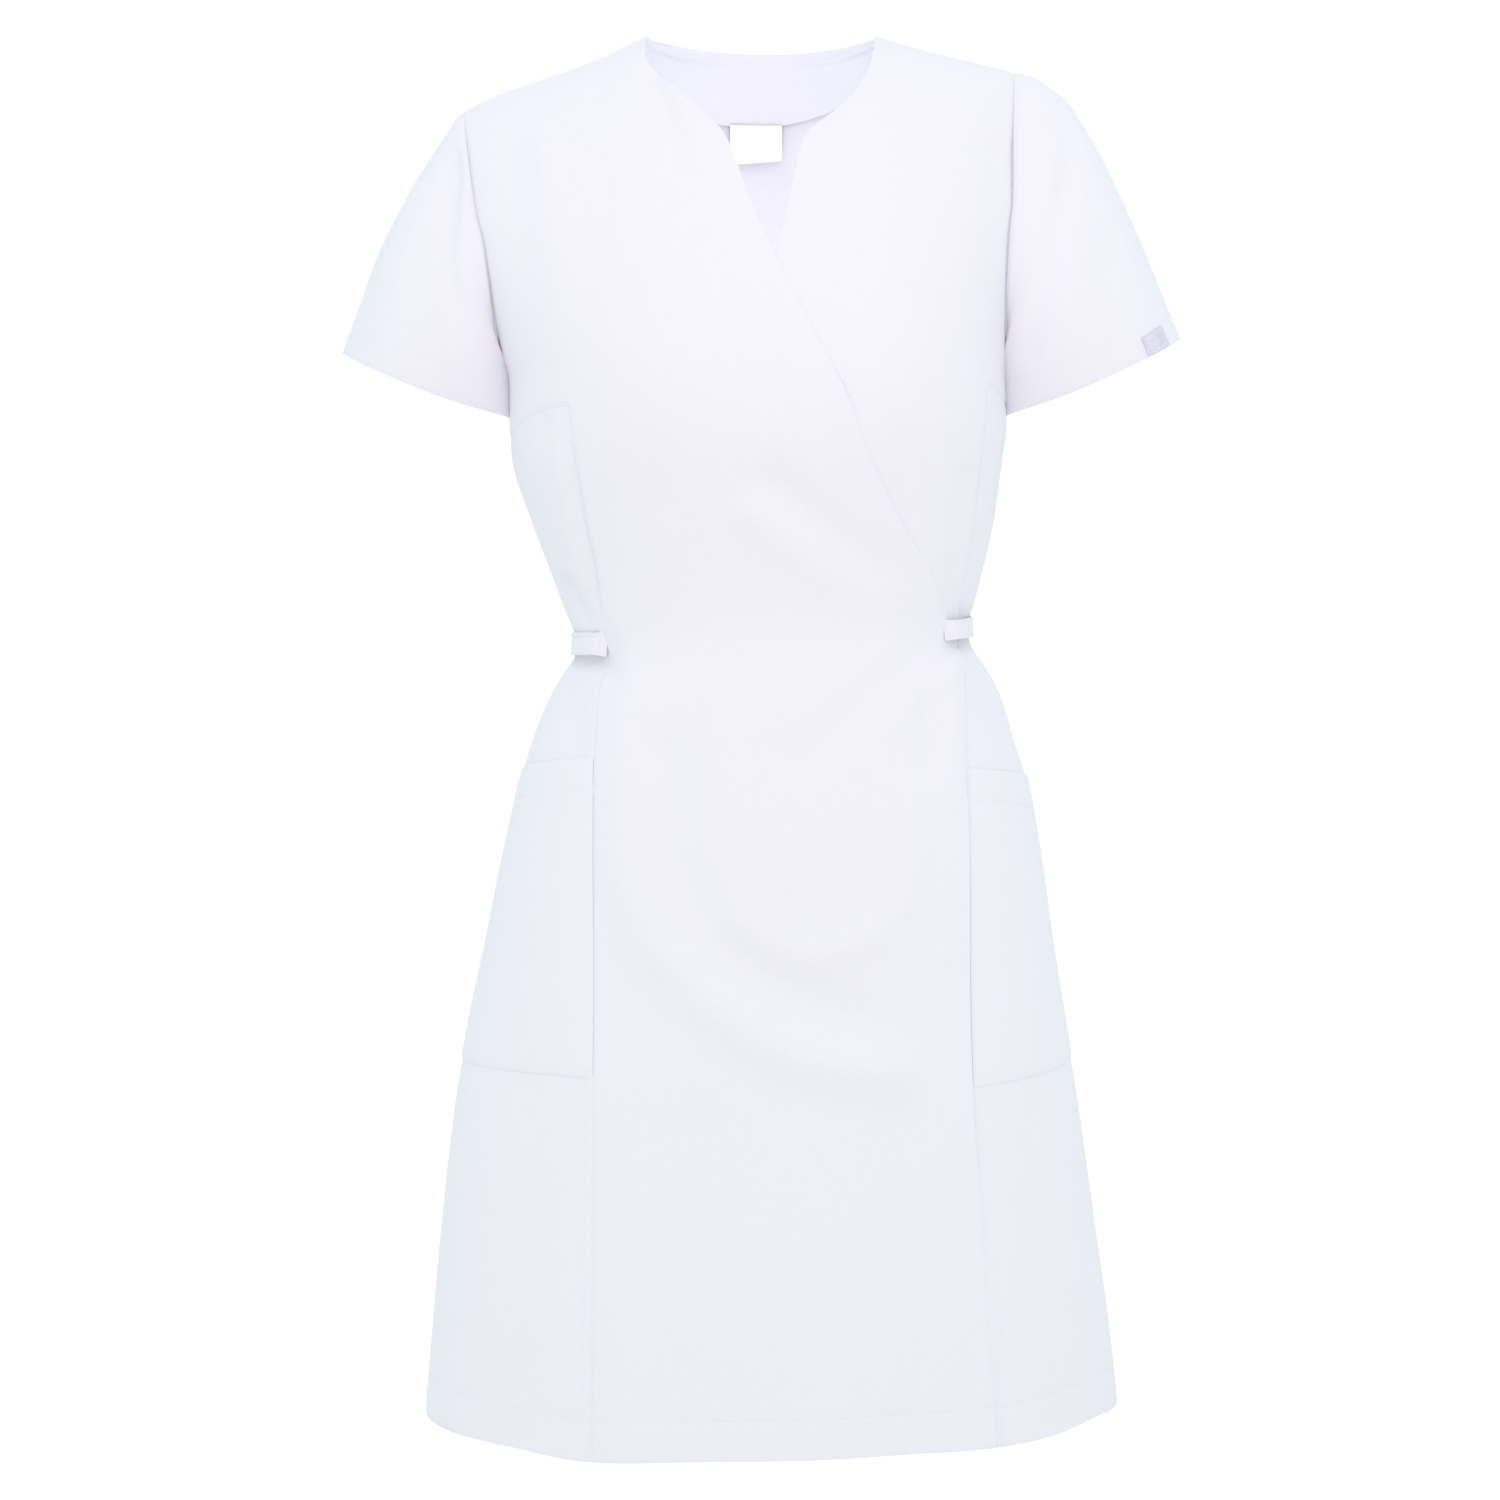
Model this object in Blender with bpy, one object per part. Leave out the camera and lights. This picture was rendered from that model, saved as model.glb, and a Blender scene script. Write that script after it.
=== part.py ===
"""Wrap-front nurse uniform dress, as worn with no wearer in it.

Metres, +Z up.  The origin lies midway between the two neck points of the shoulder seams, the dress
faces -Y, and +X is the wearer's left.  Sizes below are in millimetres.  "Right" and "left" are the
wearer's.
"""

import bpy
import numpy as np

MM = 0.001

# Cloth
WALL = 1.2              # thickness of one layer of cloth
SEAM_GAP = 0.3          # left open between two pieces at a seam
LAYER_STEP = 2.6        # from the face of one front to the face of the front that wraps over it
POCKET_LIFT = 2.0       # from the face of a side panel to the face of its pocket at the edges
POCKET_SWELL = 2.5      # how much further the middle of a pocket stands out
POCKET_MOUTH = 0.15     # share of the swell's run that is missing at the pocket's open top
BELT_WALL = 2.0         # the belt is cloth folded double
BELT_LIFT = 3.0         # from the face of the panels to the face of the belt
BELT_INSET = 0.5        # degrees that each end of the belt stops short of its panel seam
FACING_SINK = 2.0       # from the face of the back to the outer face of its neck facing
LABEL_SINK = 3.8        # from the face of the back to the outer face of the label
LABEL_WALL = 1.0        # also the facing and the tab

# Body of the dress
UNDERARM = -232.0       # height of the lowest point of the armholes
SHOULDER_ARC = 200.0    # radius that turns the climb over the shoulder into a length
SQUARENESS = 2.3        # exponent of the oval sections: 2 is an ellipse
ROUNDNESS = 2.25        # exponent of the curve over the shoulders: 2 is an ellipse
NECK_HALF = (-80.0, 71.5)   # x of the two neck points of the shoulder seams
NECK_RISE = 40.0        # how far the back would climb past the neck points at the centre back
BELT_AT = -400.0        # middle height of the waist
FACING_DEPTH = 45.0
FACING_END_DEPTH = 9.0      # what is left of its depth where it ends on the shoulder seams
FACING_SHOULDER = (72.0, 122.0)     # distances from the centre between which its depth falls
FACING_ROW = 4              # row of the back that its lower edge runs along
FACING_COLUMNS = slice(3, 17)       # columns of the back that it spans
NECK_LINE = 0.42        # where the lines down from the neck points run, from centre back to side seam
LABEL_X = (-27.0, 10.5)
LABEL_Z = (-42.0, -71.5)
RIGHT, LEFT = -1, 1


def table(columns, rows):
    """Turn rows of numbers into one array for each named column."""
    return dict(zip(columns.split(), np.array(rows, dtype=float).T))


# Oval sections.  right and left are half widths, front and back are depths from the side seams.
# Above the underarm the heights are nominal: 0 is the shoulder line.
FORM = table("height right left front back", [
    (0, 226, 182, 95, 97),
    (-56, 219, 179.5, 101, 103),
    (-102, 213, 179, 108, 108),
    (-148, 200.5, 171, 115, 110),
    (-183, 189, 163.5, 119, 109),
    (-214, 179.3, 159.5, 121, 106),
    (-232, 173.5, 158.5, 121.5, 104),
    (-262, 171.7, 158.3, 120, 100),
    (-282, 170.3, 155.7, 117, 97),
    (-322, 157.7, 150.3, 107, 90),
    (-362, 142.7, 141.3, 97, 84),
    (-382, 135.2, 136, 93, 82),
    (-392, 131, 133.2, 91.5, 81.5),
    (-402, 127.8, 134.2, 91, 82),
    (-412, 128.4, 139, 91.7, 84),
    (-422, 135, 146, 93, 87),
    (-442, 146.3, 155.7, 97, 94),
    (-468, 156.7, 163.3, 101, 102),
    (-495, 164.5, 172, 105, 109),
    (-548, 176.5, 181.2, 111, 119),
    (-602, 187.2, 188.6, 115, 125),
    (-655, 198.6, 197.3, 119, 128),
    (-709, 208, 206, 123, 131),
    (-788, 217, 217, 129, 136),
    (-868, 224, 228, 135, 141),
    (-930, 229, 234, 139, 145)])

# Shoulder seams: height at each distance from the centre line
RIGHT_SHOULDER = table("x height", [(80, 0), (95, -7), (111, -15), (133, -23), (157, -31), (180, -39),
                                    (203, -50), (240, -68)])
LEFT_SHOULDER = table("x height", [(71.5, 0), (90, -6), (121, -14), (158, -22.5), (200, -34)])

# Armhole seam: turn runs from 0 at the shoulder tip to 180 at the underarm, angle is round the body
ARMHOLE = table("turn angle", [(0, 62), (60, 62), (90, 61.5), (106, 64.3), (125, 70.5), (148, 79.8),
                               (180, 90)])

# Seams between the fronts and the side panels.  Above the bust they only guide the rows of cloth.
RIGHT_PANEL_SEAM = table("height x", [
    (0, -150), (-60, -148), (-120, -142), (-180, -135), (-232, -128.5), (-254, -127), (-279, -124.5),
    (-301, -121.5), (-333, -116.8), (-355, -112.5), (-378, -109.5), (-398, -107.6), (-415, -108),
    (-436, -110.5), (-462, -112), (-481, -112.7), (-684, -112.3), (-930, -113)])
LEFT_PANEL_SEAM = table("height x", [
    (0, 122), (-60, 128), (-120, 134), (-180, 139), (-238, 141), (-286, 138.2), (-306, 137),
    (-332, 134.6), (-358, 130.8), (-377, 127.6), (-390, 126.6), (-410, 126.8), (-475, 126.4),
    (-526, 129.4), (-635, 130), (-692, 131), (-723, 132.4), (-748, 135), (-786, 138.4), (-818, 141),
    (-862, 145.3), (-930, 149)])

# Free edge of the front that wraps over: neckline, point of the V, wrap edge, then the skirt's edge
OVER_EDGE = table("height x", [
    (0, -80), (-19, -81), (-35, -71), (-49, -57.7), (-61, -44.5), (-76, -30), (-91, -23),
    (-128, -10.7), (-159, 3.4), (-243, 45.2), (-259, 52.9), (-278, 59.3), (-296, 67.7), (-328, 83.9),
    (-353, 100.4), (-378, 114.2), (-390, 118), (-410, 126), (-475, 125.6), (-526, 128.6),
    (-635, 129.2), (-692, 130.2), (-723, 131.3), (-748, 133.7), (-786, 136.1), (-818, 137.2),
    (-875, 141.5), (-930, 144.5)])
# Free edge of the front that lies under it, hidden below the V
UNDER_EDGE = table("height x", [
    (0, 71.5), (-22, 68), (-42, 59), (-59, 45.4), (-76, 25.6), (-87, 20.3), (-125, 12.4),
    (-159, 4), (-185, -10), (-243, -38), (-278, -52), (-328, -77), (-353, -90), (-378, -97),
    (-410, -98), (-475, -102), (-684, -103), (-930, -104)])

# Lowest seam of the chest, over the side panel: height at the bust point and at the side seam
BUST_SEAM = {RIGHT: (-254.0, -268.0), LEFT: (-239.0, -250.0)}

# Hem, pockets and belt, by the angle round the body
HEM = table("angle height", [
    (-90, -913), (-75, -914), (-58, -916.6), (-41, -920.5), (-27, -925), (-9, -923.2), (18, -919.2),
    (34, -918), (42, -916.4), (51, -913.5), (58, -910), (68, -906.5), (90, -907), (180, -913),
    (270, -913)])
BELT = table("angle top bottom", [(58, -390, -404), (90, -386, -400), (180, -391, -406),
                                  (270, -396.5, -412), (303, -398, -414)])
POCKET_HEIGHTS = {RIGHT: ((-479.5, -488.0), (-684.0, -678.0)), LEFT: ((-487.0, -493.0), (-691.0, -676.0))}

# Soft fullness of the bust: where a cup's worth of cloth stands out from the oval section
BUST = table("x height wide tall rise", [(-86, -238, 52, 60, 6), (84, -236, 52, 60, 6)])
# Largest creases of the front, each a straight run of cloth drawn in (minus) or pushed out
CREASES = table("x1 z1 x2 z2 wide rise", [
    (-142, -352, -112, -397, 9, -3.5),
    (-132, -420, -124, -470, 10, -2.5),
    (120, -402, 74, -438, 15, -3),
    (128, -300, 122, -380, 9, -2.5)])

# Rows of cloth from the shoulder to the hem
CHEST_ROWS = [0, -2, -8, -20, -40, -60, -76, -100, -130, -159, -185, -210, -226, -232]
BACK_BUST_ROW = -252    # row of the back that stands in for the fronts' bust seams
SKIRT_ROWS = [-279, -301, -326, -350, -370, -386, -395, -405, -415, -430, -450, -475, -505, -545,
              -600, -660, -723, -786, -855]
WRAP_COLUMNS = np.array([0, 0.06, 0.14, 0.24, 0.36, 0.5, 0.64, 0.76, 0.86, 0.94, 1])
SIDE_COLUMNS = np.linspace(0, 1, 5)
BACK_COLUMNS = np.array([0, 0.22, 0.42, 0.6, 0.76, 0.9, 1.0])
NECK_COLUMNS = np.linspace(-1, 1, 9)

# Sleeves: hem ring's outer and inner ends, its half depth, how much lower its front edge hangs
SLEEVE = {
    RIGHT: {"outer": (-283.5, -210.0), "inner": (-177.0, -255.0), "half_depth": 47.0, "drop": 6.5},
    LEFT: {"outer": (274.8, -200.4), "inner": (163.0, -254.0), "half_depth": 48.0, "drop": 6.5}}
# How far the crown of each sleeve stands out from the straight line between armhole and hem
SLEEVE_CROWN = table("along right left", [(0, 0, 0), (0.08, 3, 12.5), (0.2, 6, 20.5), (0.35, 8, 20),
                                          (0.55, 8, 15.5), (0.8, 4, 7), (1, 0, 0)])
SLEEVE_ROWS = [0, 0.06, 0.2, 0.4, 0.6, 0.8, 1]
SLEEVE_SWELL = 7.0      # how far the front and back of a sleeve stand out halfway down
SLEEVE_START = 0.7      # where a sleeve's cloth starts, along it from the armhole seam
UNDERARM_EASE = 0.6     # how much further out it starts at the underarm
TAB_TURNS = (36.0, 56.0)    # edges of the tab round the sleeve, and along it just below
TAB_ALONG = (0.9, 0.995)
TAB_LIFT = 1.6          # from the face of the sleeve to the face of the tab


def curve(columns, knots, values, at):
    """Read a column of a table on a smooth curve that never overshoots its rows."""
    knots, values = columns[knots], columns[values]
    if knots[0] > knots[-1]:
        knots, values = knots[::-1], values[::-1]
    spans = np.diff(knots)
    slopes = np.diff(values) / spans
    before, after = slopes[:-1], slopes[1:]
    turning = before * after <= 0
    total = np.where(turning, 1, before + after)
    inner = np.where(turning, 0, 2 * before * after / total)
    tangents = np.concatenate((slopes[:1], inner, slopes[-1:]))
    at = np.clip(at, knots[0], knots[-1])
    k = np.clip(np.searchsorted(knots, at) - 1, 0, len(spans) - 1)
    t = (at - knots[k]) / spans[k]
    start = (1 + 2 * t) * values[k] + t * spans[k] * tangents[k]
    end = (3 - 2 * t) * values[k + 1] + (t - 1) * spans[k] * tangents[k + 1]
    return (1 - t) ** 2 * start + t ** 2 * end


def ease(t):
    """Soft step from 0 to 1."""
    t = np.clip(t, 0, 1)
    return t * t * (3 - 2 * t)


def oval(angle):
    """Shares of the half width (+X) and of the depth (towards the front) at an angle round the body."""
    angle = np.radians(angle)
    across = np.sign(np.sin(angle)) * np.abs(np.sin(angle)) ** (2 / SQUARENESS)
    forward = np.sign(np.cos(angle)) * np.abs(np.cos(angle)) ** (2 / SQUARENESS)
    return across, forward


def climb(height):
    """Length up the cloth from the underarm, for a height of the FORM table."""
    share = np.clip(1 - np.asarray(height, dtype=float) / UNDERARM, 0, 1)
    return np.where(share > 0, SHOULDER_ARC * np.arcsin(share ** (ROUNDNESS / 2)), height - UNDERARM)


def over_shoulder(up):
    """Shares of the way from underarm to shoulder line, and of the depth left there."""
    turn = np.clip(up / SHOULDER_ARC, 0, np.pi / 2)
    return np.sin(turn) ** (2 / ROUNDNESS), np.cos(turn) ** (2 / ROUNDNESS)


def height_of(up):
    """Height of the FORM table, for a length up the cloth."""
    return np.where(up > 0, UNDERARM * (1 - over_shoulder(up)[0]), up + UNDERARM)


def neck_rise(x):
    """Extra climb of the back between the neck points."""
    share = np.clip(np.where(x < 0, x / NECK_HALF[0], x / NECK_HALF[1]), 0, 1)
    return NECK_RISE * (1 - share ** 2) ** 2


def relief(x, z):
    """How far the front stands out from its oval section: bust fullness and largest creases."""
    rise = np.zeros_like(x)
    for bx, bz, wide, tall, height in zip(*BUST.values()):
        rise += height * np.exp(-((x - bx) / wide) ** 2 - ((z - bz) / tall) ** 2)
    for x1, z1, x2, z2, wide, height in zip(*CREASES.values()):
        run = np.hypot(x2 - x1, z2 - z1)
        ux, uz = (x2 - x1) / run, (z2 - z1) / run
        along = (x - x1) * ux + (z - z1) * uz
        aside = (x - x1) * uz - (z - z1) * ux
        past = np.maximum(np.abs(along - run / 2) - run / 2, 0)
        rise += height * np.exp(-(aside / wide) ** 2 - (past / wide) ** 2)
    return rise


def top_of(x):
    """Height of the shoulder line over each x, level between the neck points."""
    return np.where(x < 0, curve(RIGHT_SHOULDER, "x", "height", -x),
                    curve(LEFT_SHOULDER, "x", "height", x))


def half_width(x, height):
    """Half width of the oval of a height, on the side that x lies on."""
    return np.where(x < 0, curve(FORM, "height", "right", height), curve(FORM, "height", "left", height))


def body(angle, up):
    """Points of the outer face of the dress, without its sleeves."""
    across, forward = oval(angle)
    height = height_of(up)
    x = across * half_width(across, height)
    depth = np.where(forward > 0, curve(FORM, "height", "front", height),
                     curve(FORM, "height", "back", height))
    top = top_of(x) + np.where(forward < 0, neck_rise(x), 0)
    share, left_over = over_shoulder(up)
    z = np.where(up > 0, UNDERARM + (top - UNDERARM) * share, height)
    y = -forward * depth * left_over
    out = relief(x, z) * np.clip(forward, 0, 1) * left_over
    size = np.hypot(x, y) + 1e-9
    return np.stack((x + out * x / size, y + out * y / size, z), axis=-1)


def normals(surface, u, v, step_u, step_v):
    """Unit normals of a surface of two parameters, by small steps to each side."""
    du = surface(u + step_u, v) - surface(u - step_u, v)
    dv = surface(u, v + step_v) - surface(u, v - step_v)
    cross = np.cross(dv, du)
    return cross / np.linalg.norm(cross, axis=-1, keepdims=True)


def body_normals(angle, up):
    """Outward unit normals of the body of the dress."""
    up = np.minimum(up, SHOULDER_ARC * np.pi / 2 - 0.5)
    return -normals(body, angle, up, 0.05, 0.05)


def angle_at(x, height):
    """Angle round the front at which the oval of a height has the given x."""
    share = np.clip(np.abs(x) / half_width(x, height), 0, 1) ** (SQUARENESS / 2)
    return np.sign(x) * np.degrees(np.arcsin(share))


def armhole_angle(height):
    """Angle round the front of the armhole seam, or of the side seam below the underarm."""
    share = np.clip(1 - np.asarray(height, dtype=float) / UNDERARM, 0, 1)
    turn = np.degrees(np.arccos(2 * share - 1))
    return curve(ARMHOLE, "turn", "angle", turn)


def edge_angle(edge, height):
    """Angle round the front of a seam or free edge given by its x at each height."""
    return angle_at(curve(edge, "height", "x", height), height)


def grid_faces(rows, columns, keep=None, closed=False):
    """Triangles of a grid of points, rows running down and columns round; keep leaves cells out."""
    faces = []
    for r in range(rows - 1):
        for c in range(columns if closed else columns - 1):
            if keep is None or keep[r, c]:
                d = (c + 1) % columns
                upper, lower = r * columns, (r + 1) * columns
                faces.append((upper + c, lower + c, lower + d))
                faces.append((upper + c, lower + d, upper + d))
    return faces


def border(faces):
    """Edges that only one face uses, each with that face."""
    edges = {}
    for face in faces:
        for a, b in zip(face, face[1:] + face[:1]):
            edges.setdefault(frozenset((a, b)), []).append((a, b, face))
    return [uses[0] for uses in edges.values() if len(uses) == 1]


def draw_in(points, faces, amount):
    """Offsets that move the border of a piece in from its seams by an amount."""
    inward = {}
    for a, b, face in border(faces):
        along = points[b] - points[a]
        along = along / np.linalg.norm(along)
        aim = points[list(face)].mean(axis=0) - (points[a] + points[b]) / 2
        aim = aim - along * aim.dot(along)
        aim = aim / np.linalg.norm(aim)
        inward.setdefault(a, []).append(aim)
        inward.setdefault(b, []).append(aim)
    offsets = np.zeros_like(points)
    for vertex, aims in inward.items():
        mitre = 1 + aims[0].dot(aims[-1]) if len(aims) > 1 else 1
        offsets[vertex] = amount * sum(aims) / mitre
    return offsets


def make_cloth(name, outer, inner, faces, colour, flip=False):
    """Make one closed wall of cloth between an outer and an inner grid of points, in millimetres."""
    used = sorted({v for face in faces for v in face})
    order = {v: i for i, v in enumerate(used)}
    faces = [tuple(order[v] for v in face) for face in faces]
    outer, inner = outer[used], inner[used]
    offsets = draw_in(outer, faces, SEAM_GAP / 2)
    points = np.concatenate((outer + offsets, inner + offsets)) * MM
    count = len(used)
    walls = list(faces)
    walls += [tuple(v + count for v in face[::-1]) for face in faces]
    for a, b, face in border(faces):
        walls += [(b, a, a + count), (b, a + count, b + count)]
    if flip:
        walls = [face[::-1] for face in walls]
    mesh = bpy.data.meshes.new(name)
    mesh.from_pydata(points.tolist(), [], walls)
    mesh.shade_smooth()
    mesh.set_sharp_from_angle(angle=np.radians(40))
    piece = bpy.data.objects.new(name, mesh)
    bpy.context.collection.objects.link(piece)
    material = bpy.data.materials.new(name)
    material.use_nodes = True
    shader = material.node_tree.nodes["Principled BSDF"]
    shader.inputs["Base Color"].default_value = (*colour, 1)
    shader.inputs["Roughness"].default_value = 0.85
    shader.inputs["Metallic"].default_value = 0
    mesh.materials.append(material)
    return piece


def make_panel(name, angle, up, colour, lift=0.0, wall=WALL, keep=None):
    """Make a piece that lies on the body of the dress, its face moved out by lift."""
    lift = np.broadcast_to(lift, angle.shape)[..., None]
    face, out = body(angle, up), body_normals(angle, up)
    faces = grid_faces(*angle.shape, keep)
    outer = (face + out * lift).reshape(-1, 3)
    inner = (face + out * (lift - wall)).reshape(-1, 3)
    return make_cloth(name, outer, inner, faces, colour)


def between(start, end, shares):
    """Rows that run from one column of values to another."""
    return start[:, None] + (end - start)[:, None] * shares[None, :]


def front_rows(side):
    """Heights of a front's rows, one line for each: chest, bust seam, skirt, hem last."""
    return np.array(CHEST_ROWS + [BUST_SEAM[side][0]] + SKIRT_ROWS, dtype=float)


def sagging_seam(side, shares):
    """Heights of the bust seam from the bust point (share 0) to the side seam (share 1)."""
    at_point, at_side = BUST_SEAM[side]
    return at_point + (at_side - at_point) * ease(shares)


def with_hem(angle, up):
    """Add a last row on the hem to a grid, under the row that is its lowest."""
    angle = np.vstack((angle, angle[-1]))
    hem = climb(curve(HEM, "angle", "height", angle[-1]))
    return angle, np.vstack((up, hem))


def front_layer(x):
    """Share of the layer step that the overlapping front has been lifted by, from right to left."""
    return ease((x + 90) / 90)


def make_front(name, side, edge, over, colour):
    """Make one front: chest and centre in one piece, without the side panel under the bust."""
    seam = RIGHT_PANEL_SEAM if side == RIGHT else LEFT_PANEL_SEAM
    heights = front_rows(side)
    outside = side * armhole_angle(heights)
    guide = edge_angle(seam, heights)
    inside = edge_angle(edge, heights)
    chest = between(outside, guide, SIDE_COLUMNS)
    centre = between(guide, inside, WRAP_COLUMNS)
    angle = np.hstack((chest[:, :-1], centre))
    up = np.repeat(climb(heights)[:, None], angle.shape[1], axis=1)
    bust_row = len(CHEST_ROWS)
    chest_columns = len(SIDE_COLUMNS) - 1
    up[bust_row, :chest_columns] = climb(sagging_seam(side, 1 - SIDE_COLUMNS[:-1]))
    angle, up = with_hem(angle, up)
    keep = np.ones((angle.shape[0] - 1, angle.shape[1] - 1), dtype=bool)
    keep[bust_row:, :chest_columns] = False
    if side == LEFT:
        angle, up, keep = angle[:, ::-1], up[:, ::-1], keep[:, ::-1]
    lifted = front_layer(body(angle, up)[..., 0])
    lift = LAYER_STEP * (lifted if over else lifted - 1)
    return make_panel(name, angle, up, colour, lift=lift, keep=keep)


def side_grid(side, heights, up=None):
    """Grid of a side panel, from the panel seam to the side seam."""
    seam = RIGHT_PANEL_SEAM if side == RIGHT else LEFT_PANEL_SEAM
    angle = between(edge_angle(seam, heights), np.full(len(heights), side * 90.0), SIDE_COLUMNS)
    if up is None:
        up = np.repeat(climb(heights)[:, None], angle.shape[1], axis=1)
    return angle, up


def make_side_panel(name, side, colour):
    """Make the panel under the bust, from the panel seam to the side seam."""
    heights = np.array([BUST_SEAM[side][0]] + SKIRT_ROWS, dtype=float)
    angle, up = side_grid(side, heights)
    up[0] = climb(sagging_seam(side, SIDE_COLUMNS))
    angle, up = with_hem(angle, up)
    if side == RIGHT:
        angle, up = angle[:, ::-1], up[:, ::-1]
    return make_panel(name, angle, up, colour)


def make_pocket(name, side, colour):
    """Make a patch pocket from the side panel's own columns, moved out and swelling in its middle."""
    tops, bottoms = POCKET_HEIGHTS[side]
    shares = np.linspace(0, 1, 7)
    at_seam = tops[0] + (bottoms[0] - tops[0]) * shares
    at_side = tops[1] + (bottoms[1] - tops[1]) * shares
    up = climb(between(at_seam, at_side, SIDE_COLUMNS))
    angle, up = side_grid(side, at_seam, up)
    down = np.sin(np.pi * (POCKET_MOUTH + (1 - POCKET_MOUTH) * shares))
    lift = POCKET_LIFT + POCKET_SWELL * np.outer(down, np.sin(np.pi * SIDE_COLUMNS))
    if side == RIGHT:
        angle, up, lift = angle[:, ::-1], up[:, ::-1], lift[:, ::-1]
    return make_panel(name, angle, up, colour, lift=lift)


def back_columns(height):
    """Angles round the back at one height: armhole, neck point, neck point, armhole."""
    armhole = float(armhole_angle(height))
    near_top = float(ease(1 - height / UNDERARM))
    right, left = (abs(float(angle_at(np.array(x), np.array(float(height))))) for x in NECK_HALF)
    right, left = (neck * near_top + NECK_LINE * armhole * (1 - near_top) for neck in (right, left))
    from_left = -armhole + (armhole - left) * BACK_COLUMNS[:-1]
    to_right = (armhole + (right - armhole) * BACK_COLUMNS[:-1])[::-1]
    middle = np.where(NECK_COLUMNS > 0, right, left) * NECK_COLUMNS
    return 180 + np.concatenate((from_left, middle, to_right))


def back_climb(x, z):
    """Length up the back at which the cloth over x reaches a height above the underarm."""
    share = (z - UNDERARM) / (top_of(x) + neck_rise(x) - UNDERARM)
    return SHOULDER_ARC * np.arcsin(share ** (ROUNDNESS / 2))


def facing_depth(x):
    """Depth of the neck facing below the neck edge or shoulder seam, over each x."""
    beyond = (np.abs(x) - FACING_SHOULDER[0]) / (FACING_SHOULDER[1] - FACING_SHOULDER[0])
    return FACING_DEPTH + (FACING_END_DEPTH - FACING_DEPTH) * ease(beyond)


def back_grid():
    """Grid of the back from the neck and shoulder seams down, without its hem row.

    The first rows run along the neck edge and end on the facing's lower edge, except near the
    armholes, where every row meets the same point of the seam as a row of the front does.
    """
    heights = np.array(CHEST_ROWS + [BACK_BUST_ROW] + SKIRT_ROWS, dtype=float)
    angle = np.array([back_columns(height) for height in heights])
    plain = np.repeat(climb(heights)[:, None], angle.shape[1], axis=1)
    share_down = (plain[0] - plain) / (plain[0] - plain[FACING_ROW])
    column = np.minimum(np.arange(angle.shape[1]), np.arange(angle.shape[1])[::-1])
    near_neck = ease(column / FACING_COLUMNS.start)
    up = plain
    for _ in range(3):
        x = body(angle, up)[..., 0]
        edge = back_climb(x, top_of(x))
        facing = back_climb(x, top_of(x) - facing_depth(x))
        neck_rows = np.where(share_down <= 1, edge + (facing - edge) * share_down,
                             plain * facing / plain[FACING_ROW])
        up = np.where(plain > 0, plain + (neck_rows - plain) * near_neck, plain)
    return angle, up


def make_back(name, colour):
    """Make the back in one piece, from side seam to side seam and from neck to hem."""
    return make_panel(name, *with_hem(*back_grid()), colour)


def make_facing(name, colour):
    """Make the neck facing from the top rows of the back, moved in."""
    angle, up = back_grid()
    rows = slice(0, FACING_ROW + 1)
    return make_panel(name, angle[rows, FACING_COLUMNS], up[rows, FACING_COLUMNS], colour,
                      lift=-FACING_SINK, wall=LABEL_WALL)


def make_label(name, colour):
    """Make the label that hangs in front of the facing's lower edge, inside the back."""
    x, z = np.meshgrid(np.linspace(LABEL_X[1], LABEL_X[0], 4), np.linspace(*LABEL_Z, 3))
    angle = 180 - angle_at(x, z)
    return make_panel(name, angle, back_climb(x, z), colour, lift=-LABEL_SINK, wall=LABEL_WALL)


def make_belt(name, colour):
    """Make the half belt from the points of the panels, round the back from seam to seam."""
    left, right = (side_grid(side, np.array([BELT_AT]))[0][0] for side in (LEFT, RIGHT))
    back = back_columns(BELT_AT)
    around = np.concatenate((left[:-1], back, right[::-1][1:] + 360))
    around[0] += BELT_INSET
    around[-1] -= BELT_INSET
    top = curve(BELT, "angle", "top", around)
    bottom = curve(BELT, "angle", "bottom", around)
    up = climb(np.stack((top, (top + bottom) / 2, bottom)))
    angle = np.tile(around, (3, 1))
    return make_panel(name, angle, up, colour, lift=BELT_LIFT, wall=BELT_WALL)


def on_armhole(turn):
    """Angle round the body and length up it of the armhole seam, and the share of its height."""
    folded = np.abs((turn + 180) % 360 - 180)
    share = (1 + np.cos(np.radians(folded))) / 2
    angle = curve(ARMHOLE, "turn", "angle", folded)
    angle = np.where(turn % 360 <= 180, angle, 180 - angle)
    return angle, climb(UNDERARM * (1 - share)), share


def sleeve(side, turn, along):
    """Points of the outer face of a sleeve: turn 0 is its crown, 90 its front, 180 the underarm."""
    angle, up, share = on_armhole(turn)
    start = body(side * angle, up)
    cut = SLEEVE[side]
    outer, inner = np.array(cut["outer"]), np.array(cut["inner"])
    middle, reach = (outer + inner) / 2, (outer - inner) / 2
    cosine, sine = np.cos(np.radians(turn)), np.sin(np.radians(turn))
    end = np.stack((middle[0] + reach[0] * cosine, -cut["half_depth"] * sine,
                    middle[1] + reach[1] * cosine - cut["drop"] * sine), axis=-1)
    angle, up, _ = on_armhole(np.array(0.0))
    line = (outer - body(side * angle, up)[[0, 2]])
    line = line / np.linalg.norm(line)
    crown_way = np.array((side * abs(line[1]), 0, abs(line[0])))
    crown = curve(SLEEVE_CROWN, "along", "right" if side == RIGHT else "left", along) * share ** 1.5
    swell = SLEEVE_SWELL * 4 * along * (1 - along) * sine
    along = along[..., None]
    point = start * (1 - along) + end * along + crown_way * crown[..., None]
    point[..., 1] -= swell
    return point


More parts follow.
